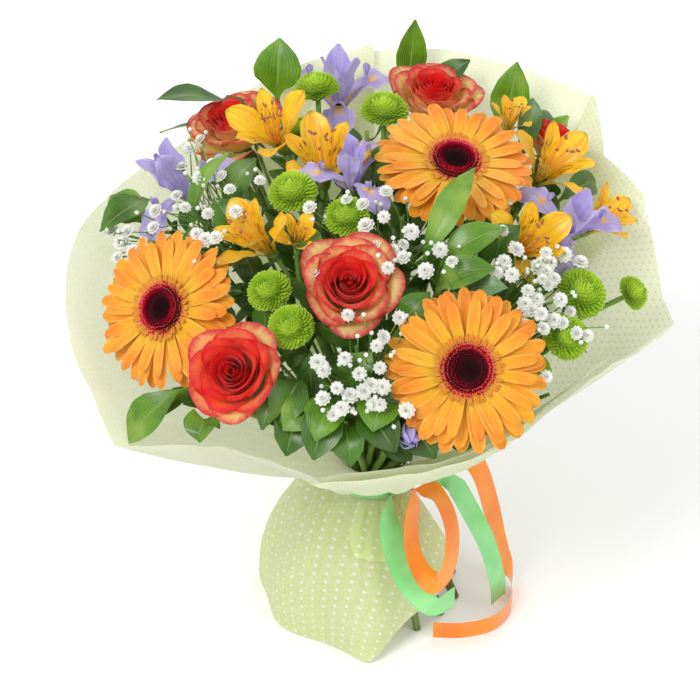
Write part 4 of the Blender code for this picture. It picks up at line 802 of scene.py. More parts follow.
# Button chrysanthemums: spray, then its heads as (x, y, lift, radius)
POMPON_SPRAYS = (
    ("back_left", ((-40, 106, 12, 17), (-50, 80, -8, 12))),
    ("back", ((6, 70, 8, 17.5),)),
    ("centre", ((-54, -10, 4, 17), (-19, -36, 4, 15.5))),
    ("left", ((-68, -76, -4, 15), (-54, -105, 0, 15.5))),
    ("right", ((131, -60, 2, 18), (168, -28, -2, 12.5))),
    ("low_right", ((119, -92, 1, 16.5), (99, -108, -14, 12))),
)
POMPON_FLORETS = 330
POMPON_FLAT = 0.68
POMPON_BELOW = 44.0
POMPON_HEART = ((-0.495, 0.062), (-0.275, 0.496), (0.11, 0.62), (0.44, 0.434), (0.55, 0.0062))
# The florets stand from the top down to this angle, and lean out no further than the second
POMPON_ROUND = 118.0
POMPON_LEAN = 100.0
SPOON = ((0, 0.45), (0.4, 0.8), (0.75, 1.0), (0.93, 0.75), (1, 0.2))
BRANCH = 1.8
SPRAY_STEM = 2.6


def spray_end(heads, below):
    """Where the main stem of a spray ends: below the middle of its heads, and the way that it points."""
    middle = np.array([on_dome(*head[:3]) for head in heads]).mean(axis=0)
    inward = unit(middle - TIE)
    return middle - inward * below, inward


def pompon_head(piece, centre, facing, radius, chance):
    way = spokes(facing)
    piece.bead(centre, facing, POMPON_HEART, 16, 0.1, radius)
    for k in range(POMPON_FLORETS):
        share = (k + 0.5) / POMPON_FLORETS
        polar = math.radians(POMPON_ROUND) * share**0.5
        radial = way(k * GOLDEN)
        lean = min(polar, math.radians(POMPON_LEAN))
        out = facing * math.cos(lean) + radial * math.sin(lean)
        up = radial * -math.cos(lean) + facing * math.sin(lean)
        root = centre + (radial * math.sin(polar) + facing * math.cos(polar) * POMPON_FLAT) * radius * 0.5
        length = radius * (0.36 + 0.16 * share) * chance.uniform(0.92, 1.06)
        closed = 30 * (1 - share) + chance.uniform(-8, 8)
        bend = (closed * 0.2, closed * 0.6 + 6, closed + 14)
        grid = petal(root, out, up, length, radius * 0.165, SPOON, bend, 6, 4, cup=0.55)
        piece.patch(grid, chance.random())


def pompons(name, heads):
    chance = random.Random(name)
    node = f"pompons_{name}"
    end, inward = spray_end(heads, POMPON_BELOW)
    flowers, stalks = Piece(), Piece()
    stem_piece(stalks, node, end, inward, SPRAY_STEM)
    for x, y, lift, radius in heads:
        facing, centre = dome_normal(x, y), on_dome(x, y, lift)
        pompon_head(flowers, centre, facing, radius, chance)
        foot = centre - facing * radius * 0.5
        stalks.tube(smooth([end - inward * 3, (end + foot) / 2 - facing * 4, foot], 10), BRANCH)
        for k in range(9):
            out = spokes(facing)(2 * math.pi * k / 9)
            stalks.patch(petal(foot, out, facing, radius * 0.5, 4, FRINGE, (10, 30, 50), 5, 3))
    flowers.make(f"{node}_florets", "pompon", "pompon", node)
    stalks.make(f"{node}_stalks", "stalk", "pompon", node)


# Alstroemerias: spray, then its blooms as (x, y, lift, azimuth, elevation, size)
LILY_SPRAYS = (
    ("back_left", ((-70, 54, 12, -35, 60, 1.0), (-34, 32, -2, 0, 74, 1.05))),
    ("left", ((-80, -42, 6, -60, 52, 0.95), (-50, -50, 6, 10, 60, 0.55))),
    ("back_right", ((92, 82, 14, 60, 78, 0.6),)),
    ("right", ((120, 48, 8, 55, 60, 1.0), (154, 26, 0, 70, 50, 0.8))),
    ("low_right", ((97, -40, 3, 20, 48, 1.0),)),
)
LILY_BELOW = 62.0
LILY_DEPTH = 26.0
ANTHER = ((-2, 0.3), (-1, 1), (1, 1), (2, 0.2))
LILY_FOOT = ((-6, 1.8), (-3, 3.6), (1, 4.2), (4, 3.0))
TEPAL_OUTER = ((0, 0.24), (0.2, 0.36), (0.45, 0.78), (0.66, 1.0), (0.84, 0.88), (0.94, 0.5), (1, 0.1))
TEPAL_INNER = ((0, 0.3), (0.25, 0.45), (0.55, 0.85), (0.75, 1.0), (0.9, 0.7), (1, 0.08))
# The outer and the inner petals, which take turns: length, width, form, bend, cup, range of tones
TEPALS = (
    (46, 20, TEPAL_OUTER, (70, 62, 46, 26), 0.22, (0.1, 0.45)),
    (45, 13, TEPAL_INNER, (76, 68, 56, 44), 0.3, (0.65, 1.0)),
)


def lily_bloom(flowers, stamens, stalks, base, facing, size, roll, chance):
    way = spokes(facing)
    for k in range(6):
        out = way(math.pi / 3 * k + roll)
        length, width, form, bend, cup, tones = TEPALS[k % 2]
        lean = chance.uniform(-6, 6)
        grid = petal(
            base + out * 3.2 * size, out, facing, length * size, width * size, form, [b + lean for b in bend],
            20, 11, cup=cup, ruffle=0.7 * size, waves=3, phase=k, twist=chance.uniform(-12, 12),
        )
        flowers.patch(grid, chance.uniform(*tones))
    for k in range(7):
        turn = 2 * math.pi * k / 7 + roll
        tip = facing * (34 + 4 * (k % 3)) + way(turn) * (5 + 2.5 * (k % 2)) + way(roll) * 6
        middle = facing * 20 + way(turn) * 4
        path = smooth([base + facing * 4 * size, base + middle * size, base + tip * size], 10)
        stamens.tube(path, np.linspace(0.75, 0.45, 10) * size, 6, 0.2)
        if k:
            stamens.bead(base + tip * size, way(turn) + facing * 0.5, ANTHER, 8, 1.0, size)
    stalks.bead(base, facing, LILY_FOOT, 12, scale=size)


def lilies(name, heads):
    chance = random.Random(name)
    node = f"alstroemeria_{name}"
    end, inward = spray_end(heads, LILY_BELOW)
    flowers, stamens, stalks = Piece(), Piece(), Piece()
    stem_piece(stalks, node, end, inward, SPRAY_STEM)
    for x, y, lift, azimuth, elevation, size in heads:
        facing = aim(azimuth, elevation)
        base = on_dome(x, y, lift) - facing * LILY_DEPTH * size
        lily_bloom(flowers, stamens, stalks, base, facing, size, chance.uniform(0, 2), chance)
        foot = base - facing * 5 * size
        stalks.tube(smooth([end - inward * 3, (end + base) / 2 - facing * 4, foot], 12), BRANCH)
    flowers.make(f"{node}_tepals", "lily", "alstroemeria", node)
    stamens.make(f"{node}_stamens", "stamen", "alstroemeria", node)
    stalks.make(f"{node}_stalks", "stalk", "stem", node)


# Irises: (name, x, y, lift, azimuth, elevation, size, roll)
IRISES = (
    ("back", -25, 138, 6, 0, 84, 0.95, 30),
    ("left", -134, 42, 4, -60, 62, 0.95, 0),
    ("centre", -15, 7, 4, 10, 78, 0.8, 60),
    ("right", 128, -10, 6, 40, 62, 0.85, 20),
)
IRIS_STEM = 2.9
IRIS_DEPTH = 22.0
FALL = ((0, 0.28), (0.3, 0.36), (0.5, 0.72), (0.7, 1.0), (0.86, 0.86), (0.95, 0.55), (1, 0.12))
STANDARD = ((0, 0.22), (0.25, 0.4), (0.5, 0.82), (0.7, 1.0), (0.88, 0.72), (1, 0.1))
ARM = ((0, 0.5), (0.4, 0.8), (0.75, 1.0), (0.9, 0.9), (1, 0.45))
IRIS_FOOT = ((-14, 2.9), (-8, 3.6), (-2, 3.4), (5, 2.4))
SPATHE = ((0, 0.8), (0.3, 1), (0.8, 0.5), (1, 0.03))
# The bud: x, y, lift, azimuth, elevation
IRIS_BUD = (18, -150, -20, 10, 18)
IRIS_BUD_DEPTH = 20.0
BUD_PETAL = ((0, 0.4), (0.3, 0.9), (0.55, 1.0), (0.85, 0.5), (1, 0.06))
BUD_SHEATH = ((0, 0.5), (0.4, 1.0), (0.75, 0.6), (1, 0.04))


def iris(name, x, y, lift, azimuth, elevation, size, roll):
    chance = random.Random(name)
    place, facing = on_dome(x, y, lift), aim(azimuth, elevation)
    base = place - facing * IRIS_DEPTH * size
    way = spokes(facing)
    bloom = Piece()
    for k in range(3):
        for kind in ("fall", "standard", "arm"):
            out = way(2 * math.pi * (k + roll / 120 + (0.5 if kind == "standard" else 0)) / 3)
            lean = chance.uniform(-5, 5)
            if kind == "fall":
                bend = [b + lean for b in (58, 44, 18, -22, -58)]
                grid = petal(
                    base + out * 3, out, facing, 56 * size, 25 * size, FALL, bend,
                    24, 13, cup=-0.1, ruffle=2.0 * size, waves=3.2, phase=k,
                )
                bloom.patch(grid, chance.uniform(0.88, 1.0))
            elif kind == "standard":
                bend = [b + lean for b in (70, 80, 84, 74)]
                grid = petal(
                    base + out * 2.4, out, facing, 52 * size, 20 * size, STANDARD, bend,
                    22, 11, cup=0.3, ruffle=1.7 * size, waves=2.6, phase=k * 2, twist=chance.uniform(-25, 25),
                )
                bloom.patch(grid, chance.uniform(0.0, 0.4))
            else:
                grid = petal(
                    base + facing * 6 * size, out, facing, 30 * size, 9 * size, ARM,
                    [b + lean for b in (52, 34, 16, 40)], 14, 9, cup=-0.35, ruffle=0.6 * size, waves=2,
                )
                bloom.patch(grid, chance.uniform(0.4, 0.6))
                root = grid[-1, grid.shape[1] // 2] - out * size
                for hand in (-0.6, 0.6):
                    crest = unit(np.cross(facing, out) * hand + out * 0.5)
                    long, wide, bend = 10 * size, 6 * size, (60, 84, 96)
                    grid = petal(root, crest, facing, long, wide, SPOON, bend, 8, 5, cup=0.2, ruffle=0.6)
                    bloom.patch(grid)
    bloom.make(f"iris_{name}_corolla", "iris", "iris", f"iris_{name}_petals")
    stem = Piece()
    path = stem_piece(stem, f"iris_{name}_stem", base - facing * 2, facing, IRIS_STEM)
    stem.bead(base, facing, IRIS_FOOT, 14, scale=size)
    for turn, start in ((0.6, path[-5]), (3.4, path[-8])):
        stem.patch(petal(start, way(turn), facing, 44 * size, 9, SPATHE, (84, 80, 70), 12, 7, cup=0.7))
    stem.make(f"iris_{name}_stalk", "stem", "stem", f"iris_{name}_stem")


def iris_bud(x, y, lift, azimuth, elevation):
    facing = aim(azimuth, elevation)
    end = on_dome(x, y, lift) - facing * IRIS_BUD_DEPTH
    way = spokes(facing)
    bud = Piece()
    for k in range(6):
        out, higher = way(k * 1.05), 3 * (k % 2)
        root, bend, long = end + facing * (10 + higher) + out * 2, (74, 84, 98, 104), 32 - higher
        grid = petal(root, out, facing, long, 14, BUD_PETAL, bend, 16, 9, cup=0.55, twist=38, ruffle=0.4)
        bud.patch(grid, 0.1 * k)
    bud.make("iris_bud_petals", "iris", "iris", "iris_bud")
    green = Piece()
    stem_piece(green, "iris_bud", end, facing, SPRAY_STEM)
    for k in range(4):
        out = way(k * 1.57 + 0.5)
        root, bend = end + out * 1.6 - facing * 4, (72, 84, 96, 96)
        green.patch(petal(root, out, facing, 30 - 5 * (k % 2), 12, BUD_SHEATH, bend, 12, 7, cup=0.6))
    out = unit(facing - np.cross(facing, (0, 0, 1)) / 2)
    up = np.cross(out, np.cross((0, 0, 1.0), out))
    green.patch(petal(end - facing * 8, out, up, 46, 12, LEAF, (12, 4, -10), 16, 7, cup=0.35), 0.3)
    green.make("iris_bud_sheath", "stalk", "iris", "iris_bud")


# Leaves: stem, its end (x, y, lift), then its leaves as (root x, y, lift), (tip x, y, lift), width, arch
LEAF = ((0, 0.08), (0.1, 0.16), (0.22, 0.5), (0.4, 0.92), (0.55, 1.0), (0.74, 0.78), (0.9, 0.36), (1, 0.02))
LEAF_STEM = 2.3
LEAF_STEMS = (
    ("back_left", (-64, 136, -20), (
        ((-68, 142, 8), (-66, 154, 52), 34, 4),
        ((-98, 122, -12), (-150, 122, 56), 18, 6),
    )),
    ("back", (10, 150, -24), (
        ((24, 164, 6), (30, 168, 50), 22, 2),
    )),
    ("back_right", (98, 118, -24), (
        ((90, 122, -10), (98, 128, 46), 28, 4),
        ((108, 116, -14), (134, 116, 30), 20, 6),
    )),
    ("left", (-146, 14, -26), (
        ((-156, 34, -8), (-178, 52, 32), 24, 6),
        ((-120, 0, -8), (-96, 16, 24), 18, 8),
    )),
    ("centre_right", (40, -62, -22), (
        ((30, -62, -4), (62, -18, 30), 19, 12),
        ((40, -62, -6), (82, -50, 20), 23, 8),
        ((38, -74, -10), (74, -76, 14), 22, 8),
    )),
    ("front_left", (-112, -104, -30), (
        ((-124, -104, -20), (-160, -108, -4), 26, 6),
        ((-104, -126, -20), (-112, -146, -2), 26, 6),
    )),
    ("front", (-40, -126, -30), (
        ((-40, -138, -18), (-58, -156, 2), 24, 6),
        ((-28, -138, -16), (-38, -164, 4), 26, 6),
    )),
    ("front_right", (6, -128, -30), (
        ((2, -138, -16), (-3, -164, 6), 28, 6),
        ((14, -126, -18), (30, -118, -4), 22, 4),
    )),
)
UPRIGHT_LEAF = 0.75
# How far a leaf's tip is raised and the leaf's share that is kept, in turn, until it clears the wrap
LEAF_RAISED = ((0, 1.0), (4, 0.95), (8, 0.9), (12, 0.85), (16, 0.8), (20, 0.75))
LEAF_ROOM = 0.5


def leaf_grid(start, root, tip, width, arch, up, chance, rows=26, columns=13):
    """A leaf on its petiole: start, then root where the blade begins, to tip, its middle raised by arch."""
    line = tip - root
    middle = [root + line * t + up * arch * math.sin(math.pi * t) for t in (0.0, 0.33, 0.66, 1.0)]
    spine = smooth([start, *middle], rows)
    reach = np.linalg.norm(root - start) / (np.linalg.norm(root - start) + np.linalg.norm(line))
    t = np.linspace(0, 1, rows)
    blade = np.clip((t - reach * 0.8) / (1 - reach * 0.8), 0, 1)
    half = np.maximum(width / 2 * table(LEAF, blade), 0.7)
    ahead = np.gradient(spine, axis=0)
    ahead /= np.linalg.norm(ahead, axis=1, keepdims=True)
    side = np.cross(up, ahead)
    side /= np.linalg.norm(side, axis=1, keepdims=True)
    normal = np.cross(ahead, side)
    s = np.linspace(-1, 1, columns)
    phase = chance.uniform(0, 6)
    twist = chance.uniform(-0.25, 0.25) * t
    side = side * np.cos(twist)[:, None] + normal * np.sin(twist)[:, None]
    normal = np.cross(ahead, side)
    fold = 0.26 * half[:, None] * np.abs(s) ** 1.3
    wave = 0.9 * np.outer(np.sin(t * 9 + phase), s * np.abs(s))
    along, across = np.meshgrid(t, (s + 1) / 2, indexing="ij")
    return strip_grid(spine, side, normal, half[:, None] * s, fold + wave), np.stack([across, along], -1)


@functools.lru_cache(maxsize=None)
def bowl(turn):
    """Radii and heights of the inmost sheet of the wrap at one azimuth, from the neck to the rim."""
    points = [collar_point(turn, t, 0) for t in np.linspace(0, 1, 24)]
    return [math.hypot(p[0], p[1]) for p in points], [p[2] for p in points]


def pokes(grid, room):
    """Whether a leaf would come out through the wrap's bowl."""
    for x, y, z in grid[:, ::3].reshape(-1, 3):
        turn = round(math.degrees(math.atan2(y, x)) / BOWL_STEP) * BOWL_STEP % 360
        radii, heights = bowl(turn)
        if z < heights[-1] and math.hypot(x, y) > np.interp(z, heights, radii) - room:
            return True
    return False


def leaves(name, end, rows):
    chance = random.Random(name)
    node = f"leaves_{name}"
    end = on_dome(*end)
    facing = unit(end - TIE)
    blades, stem = Piece(), Piece()
    stem_piece(stem, node, end, facing, LEAF_STEM)
    for k, (root, tip, width, arch) in enumerate(rows):
        start = end - facing * (2 + 7 * k)
        outward = dome_normal(root[0], root[1])
        root, tip = on_dome(*root), on_dome(*tip)
        out = unit(tip - root)
        up = square_to(out, outward if out.dot(outward) < UPRIGHT_LEAF else aim(0, 20))
        for raised, kept in LEAF_RAISED:
            point = root + (tip - root) * kept + np.array([0, 0, raised])
            grid, uv = leaf_grid(start, root, point, width, arch, up, chance)
            if not pokes(grid, LEAF_ROOM):
                break
        blades.patch(grid, chance.random(), uv=uv)
    blades.make(f"{node}_blades", "leaf", "leaf", node)
    stem.make(f"{node}_stalk", "stalk", "leaf", node)


# More leaves than the solids have, as pixels of the root and the tip with their lifts, width and material
MORE_LEAVES = (
    ((520, 160, -6), (533, 98, 26), 17, "leaf"),
    ((528, 128, -6), (555, 122, 18), 15, "grey leaf"),
    ((226, 204, -6), (256, 158, 18), 22, "leaf"),
    ((240, 236, -8), (214, 198, 14), 20, "leaf"),
    ((470, 290, -12), (508, 288, 12), 17, "grey leaf"),
    ((400, 325, -8), (430, 292, 10), 20, "leaf"),
    ((380, 406, -24), (420, 366, -18), 24, "grey leaf"),
    ((282, 372, -14), (262, 430, 2), 22, "leaf"),
    ((560, 200, -12), (604, 176, 8), 20, "leaf"),
    ((250, 130, -8), (226, 96, 16), 18, "leaf"),
    ((560, 390, -14), (604, 372, -2), 20, "leaf"),
    ((440, 92, -12), (470, 60, 14), 20, "leaf"),
    ((372, 172, -10), (404, 150, 10), 18, "leaf"),
    ((300, 232, -12), (322, 262, 4), 18, "leaf"),
    ((478, 258, -12), (520, 226, 10), 22, "leaf"),
    ((384, 428, -34), (412, 460, -36), 22, "leaf"),
    ((448, 430, -20), (484, 446, -10), 20, "leaf"),
    ((330, 400, -14), (313, 460, -4), 27, "leaf"),
    ((362, 402, -14), (396, 452, -4), 27, "leaf"),
    ((345, 424, -24), (352, 466, -14), 22, "leaf"),
    ((300, 408, -20), (286, 456, -10), 24, "leaf"),
    ((404, 418, -22), (436, 458, -12), 24, "leaf"),
    ((300, 380, -14), (276, 424, -2), 26, "leaf"),
    ((346, 384, -16), (372, 352, 6), 22, "leaf"),
    ((228, 104, 4), (156, 100, 30), 20, "leaf"),
    ((150, 200, -14), (100, 232, 6), 24, "leaf"),
    ((430, 320, -14), (470, 300, 0), 20, "leaf"),
)
# These leaves are shortened, in turn, until they clear the wrap, or left out
LEAF_KEPT = (1.0, 0.8, 0.6)
# Leafy stems all through the bouquet: how many, how far out and below the dome, and the leaves on each
FILLER_STEMS = 34
FILLER_REACH = 150.0
FILLER_BELOW = 26.0
FILLER_LEAVES = 9
# The azimuths at which the bowl is measured, in degrees apart, and how far the leaves stay inside it
BOWL_STEP = 6
BOWL_ROOM = 2.5


def more_leaves():
    chance = random.Random(5)
    blades = {"leaf": Piece(), "grey leaf": Piece()}
    stalks = Piece()
    for (u, v, low), (u2, v2, high), width, kind in MORE_LEAVES:
        root, tip = seen_on_dome(u, v, low), seen_on_dome(u2, v2, high)
        inward = unit(root - TIE)
        start = root - inward * 12
        up = square_to(unit(tip - root), dome_normal(root[0], root[1]) + aim(0, 35) * 1.6)
        for kept in LEAF_KEPT:
            grid, uv = leaf_grid(start, root, root + (tip - root) * kept, width, 6, up, chance)
            if not pokes(grid, BOWL_ROOM):
                blades[kind].patch(grid, chance.random(), uv=uv)
                break
        stalks.tube(smooth([root - inward * 82, root - inward * 42, start], 10), 1.3)
    for k in range(FILLER_STEMS):
        r = FILLER_REACH * math.sqrt((k + 0.5) / FILLER_STEMS)
        a = k * GOLDEN
        top = on_dome(r * math.cos(a), r * math.sin(a), -FILLER_BELOW)
        inward = unit(top - TIE)
        stalks.tube(smooth([TIE + inward * 40, (TIE + top) / 2, top], 14), 1.2)
        for j in range(FILLER_LEAVES):
            start = top - inward * (6 + 74 * j / FILLER_LEAVES)
            out = spokes(inward)(j * 2.4 + k)
            reach = chance.uniform(30, 42)
            tip = start + out * reach * 0.8 + inward * reach * chance.uniform(0.3, 0.8)
            tip[2] = min(tip[2], dome_height(tip[0], tip[1]) - 14)
            width = chance.uniform(13, 19)
            grid, uv = leaf_grid(start, start + out * 5, tip, width, 4, inward, chance, 12, 7)
            if not pokes(grid, BOWL_ROOM):
                blades["leaf"].patch(grid, chance.random(), uv=uv)
    # The filler leaves deep inside take the darker copy of the leaf look, as painted shade
    blades["leaf"].make("filler_leaves", "leaf in painted shade", "leaf")
    blades["grey leaf"].make("grey_leaves", "grey leaf", "leaf")
    stalks.make("filler_stalks", "stalk", "leaf")


# Gypsophila: spray, then its patches as (x, y, lift), which its main stem ends under
MIST_SPRAYS = (
    ("front", ((-20, -142, 16), (6, -134, 12))),
    ("middle", ((8, -22, 18), (32, -44, 12))),
    ("right", ((98, -72, 14), (96, -90, 14))),
    ("left", ((-112, 32, 16), (-128, 10, 12))),
    ("far_left", ((-152, 52, 10),)),
)
MIST_STEM = 1.8
MIST_BELOW = 56.0
MIST_LIFT = 15.0
# The open florets, as pixels
MIST_PIXELS = (
    (345, 359), (318, 362), (324, 371), (337, 388), (323, 399), (360, 374), (383, 337), (377, 346), (380, 368),
    (371, 386), (363, 392), (383, 387), (373, 404), (342, 409), (333, 415), (380, 405), (407, 410), (350, 396),
    (347, 200), (363, 205), (386, 192), (384, 217), (375, 246), (411, 232), (403, 245), (403, 258), (394, 250),
    (426, 271), (399, 318), (348, 315), (329, 255), (313, 275), (343, 252), (502, 231), (366, 226), (388, 268),
    (516, 250), (504, 262), (497, 273), (512, 275), (546, 253), (537, 267), (550, 263), (545, 272), (543, 280),
    (554, 279), (548, 285), (528, 291), (537, 300), (525, 304), (532, 311), (541, 314), (524, 325), (543, 329),
    (554, 321), (562, 323), (576, 333), (587, 336), (546, 377), (580, 263), (564, 255), (560, 300), (570, 312),
    (182, 168), (200, 178), (177, 196), (185, 208), (156, 211), (201, 140), (190, 149), (154, 228), (197, 234),
    (206, 240), (216, 238), (260, 181), (212, 164), (222, 176), (230, 190), (218, 204), (236, 212), (208, 214),
    (112, 232), (122, 244), (134, 252), (128, 232), (144, 244), (118, 258), (310, 208), (440, 250), (452, 262),
)
MIST_BUDS = 150
MIST_BUD = ((-1.4, 0.3), (-0.6, 1.3), (0.6, 1.5), (1.6, 0.9), (2.1, 0.05))
MIST_CUP = ((-0.55, 0.12), (-0.3, 0.34), (0.02, 0.4), (0.1, 0.1))
# A floret's rings of petals: count, length, lean, level
FLORET_RINGS = ((10, 1.0, 6, 0), (10, 0.88, 30, 0.1), (9, 0.72, 52, 0.2), (6, 0.5, 76, 0.28))


def scatter(chance, *ranges):
    return np.array([chance.uniform(low, high) for low, high in ranges])


def open_floret():
    """A double floret at the origin, facing +Z, one unit across its radius."""
    made = Piece()
    up = np.array([0.0, 0.0, 1.0])
    for ring, (count, length, lean, level) in enumerate(FLORET_RINGS):
        for k in range(count):
            out = spokes(up)(2 * math.pi * (k + ring * 0.4) / count)
            root, bend = out * 0.08 + up * level, (lean, lean + 8, lean - 12)
            grid = petal(root, out, up, length, 0.6, SPOON, bend, 5, 4, cup=0.3, ruffle=0.12)
            made.patch(grid, 0.1 * ring + 0.05 * (k % 3))
    return made


def mist():
    chance = random.Random(9)
    pattern = open_floret()
    flowers = {name: Piece() for name, _ in MIST_SPRAYS}
    stalks = {name: Piece() for name, _ in MIST_SPRAYS}
    ends = {}
    for name, patches in MIST_SPRAYS:
        end, inward = spray_end(patches, MIST_BELOW)
        ends[name] = (end, inward)
        stem_piece(stalks[name], f"gypsophila_{name}", end, inward, MIST_STEM)
    spots = []
    for u, v in MIST_PIXELS:
        spots.append((seen_on_dome(u, v, MIST_LIFT + chance.uniform(-5, 4)), chance.uniform(4.0, 5.6)))
    # The buds stand near open florets and have no radius of their own
    for _ in range(MIST_BUDS):
        near, _ = spots[chance.randrange(len(MIST_PIXELS))]
        spots.append((near + scatter(chance, (-13, 13), (-13, 13), (-9, 6)), 0.0))
    for spot, radius in spots:
        name = min(ends, key=lambda n: np.linalg.norm(ends[n][0] - spot))
        end, inward = ends[name]
        facing = dome_normal(spot[0], spot[1]) + aim(0, 35) * 0.35
        facing = unit(facing + scatter(chance, *[(-0.5, 0.5)] * 3))
        start = end - inward * chance.uniform(0, 16)
        middle = (start + spot) / 2 + scatter(chance, (-5, 5), (-5, 5), (-2, 6))
        stalks[name].tube(smooth([start, middle, spot], 9), 0.45, 5)
        if radius:
            flowers[name].stamp(pattern, spot, facing, (1, chance.random(), 0), radius, chance.random() * 0.5)
            stalks[name].bead(spot, facing, MIST_CUP, 7, scale=radius)
        else:
            flowers[name].bead(spot, facing, MIST_BUD, 7, chance.random())
    for name in ends:
        node = f"gypsophila_{name}"
        flowers[name].make(f"{node}_florets", "mist", "gypsophila", node)
        stalks[name].make(f"{node}_stalks", "stalk", "gypsophila", node)


# Wrap: the collar's rim as (azimuth, radius, height); azimuth 0 is the viewer's right and 270 the front
RIM = (
    (3, 192, 250), (12, 188, 285), (17, 187, 304), (30, 178, 318), (41, 199, 344), (52, 190, 346),
    (62, 182, 348), (76, 181, 354), (90, 180, 353), (101, 180, 342), (112, 179, 332), (124, 182, 316),
    (135, 185, 302), (148, 192, 296), (160, 198, 286), (170, 202, 284), (180, 205, 278), (190, 206, 270),
    (200, 207, 258), (208, 206, 244), (216, 206, 218), (228, 190, 237), (238, 183, 249), (248, 178, 247),
    (258, 180, 239), (268, 172, 237), (283, 168, 242), (297, 168, 252), (310, 168, 261), (328, 174, 268),
    (345, 186, 260), (358, 198, 243),
)
NECK_HALF = 8.0
LAYER_STEP = 2.0
RIM_STEP = (2.2, 4.0)
COLLAR_START = 2.0
COLLAR_CURVE = 1.12
COLLAR_SAG = 9.0
COLLAR_FOLD = 3.0
FOLDS = 7
# The skirt's hem: azimuth, and how far down it reaches, 1 being the floor
HEM = ((76, 1.0), (267, 1.0), (290, 0.80), (315, 0.64), (330, 0.40))
HEM_RADIUS = (82, 9)
SKIRT_CURVE = 1.25
SKIRT_FLARE = (1.06, 0.9)
SKIRT_FOLD = 2.6
SKIRT_FOLD_PHASE = 0.6
FLOOR_GAP = 1.0
CREASE = 2.2
# The skirt's hem runs out to a corner at the front: how far, at which azimuth, and how wide
CORNER, CORNER_TURN, CORNER_WIDTH = 8.0, 268.0, 9.0
# From the tape's outside to the middle of the first sheet
WRAP_ROOM = 1.29
# Gathers at the neck: how many folds a full turn, and their height
GATHERS = ((31, 1.7), (47, 0.9), (13, 1.8))


def polar(name):
    """How far a CAD ring reaches in each direction, as a function of the angle."""
    spots = node_points(name)
    angles = np.arctan2(spots[:, 1], spots[:, 0])
    reach = np.hypot(spots[:, 0], spots[:, 1])
    bins = {}
    for a, r in zip(np.round(angles, 2), reach):
        bins[a] = max(bins.get(a, 0), r)
    keys = sorted(bins)
    return lambda angle: np.interp(angle, keys, [bins[k] for k in keys], period=2 * math.pi)


tape_reach = polar("binding_tape")


def neck(angle):
    return float(tape_reach(angle)) + WRAP_ROOM


def rim(azimuth):
    """The radius and the height of the collar's rim."""
    turns, *columns = zip(*RIM)
    return [float(np.interp(azimuth, turns, column, period=360)) for column in columns]


def gather(a, layer):
    """The height of the gathers at one angle."""
    return sum(high * math.sin(count * a + 1.7 * layer + count) for count, high in GATHERS)


def collar_point(azimuth, t, layer):
    """A point of the collar: t runs from the neck (0) to the rim (1)."""
    a = math.radians(azimuth)
    wider, lower = RIM_STEP
    radius, height = rim(azimuth)
    low = TIE[2] + NECK_HALF + COLLAR_START
    inner = neck(a) + layer * LAYER_STEP
    r = inner + (radius + wider * layer - inner) * t
    sag = COLLAR_SAG * math.sin(math.pi * t)
    z = low + (height - low) * t**COLLAR_CURVE - sag - layer * lower * t
    ripple = COLLAR_FOLD * math.sin(a * FOLDS) * t * t
    folds = gather(a, layer) * min(1.0, 4.5 * t) * (1 - 0.78 * t)
    r += folds * 0.5
    return np.array([r * math.cos(a), r * math.sin(a), z + ripple - folds * 0.8])


def skirt_point(azimuth, t):
    """A point of the skirt: t runs from the neck (0) to the hem (1)."""
    a = math.radians(azimuth)
    whole, t = t, t * float(np.interp(azimuth, *zip(*HEM)))
    hem = HEM_RADIUS[0] + HEM_RADIUS[1] * math.sin(a)
    early, power = SKIRT_FLARE
    r = neck(a) + (hem - neck(a)) * math.sin(math.pi / 2 * min(1.0, t * early)) ** power
    folds = SKIRT_FOLD * math.sin(a * FOLDS + SKIRT_FOLD_PHASE) * t
    folds += gather(a, 0) * 0.8 * min(1.0, 6 * whole) * (1 - whole) ** 2
    folds += CREASE * math.sin(3 * a + 1.0) * math.sin(math.pi * whole)
    folds += CORNER * math.exp(-(((azimuth - CORNER_TURN) / CORNER_WIDTH) ** 2)) * whole**3
    z = TIE[2] - NECK_HALF - (TIE[2] - NECK_HALF - FLOOR_GAP) * t**SKIRT_CURVE
    return np.array([(r + folds) * math.cos(a), (r + folds) * math.sin(a), max(z, FLOOR_GAP)])


# The sheets: name, CAD node, first and last azimuth, how much narrower the neck is, layer, skirt or not, look
SHEETS = (
    ("wrap_left_collar", "wrap_left", 90, 328, 0, 0, False, "collar"),
    ("wrap_left_skirt", "wrap_left", 90, 328, 0, 0, True, "skirt"),
    ("wrap_right_collar", "wrap_right", 256, 401, 20, 1, False, "lilac collar"),
    ("wrap_back_collar", "wrap_back", 17, 135, 0, 2, False, "collar"),
)
# A loose fold of the right sheet that hangs over the skirt: azimuths, then its hem as (azimuth, share)
FLAP = (250.0, 312.0)
FLAP_HEM = ((250, 0.24), (258, 0.36), (268, 0.37), (276, 0.42), (292, 0.46), (300, 0.38), (312, 0.24))
FLAP_ROOM = 2.6
COLLAR_ROWS = 44
FLAP_ROWS = 16
DEGREES_A_COLUMN = 1.0
# The flat cloth is a fan: how far a turn of the wrap turns it, and how far from its point the neck is
CONE = 0.74
CONE_START = 34.0


def cloth_uv(grid, azimuths):
    """The sheet laid flat as a fan, in millimetres."""
    steps = np.linalg.norm(np.diff(grid, axis=0), axis=2)
    run = CONE_START + np.concatenate([np.zeros((1, grid.shape[1])), np.cumsum(steps, axis=0)])
    turn = np.radians(azimuths)[None, :] * CONE
    return np.stack([run * np.sin(turn), run * np.cos(turn)], -1)


def lay(name, node, grid, azimuths, look):
    sheet = Piece()
    sheet.patch(grid, uv=cloth_uv(grid, azimuths))
    made = sheet.make(name, look, "wrap", node)


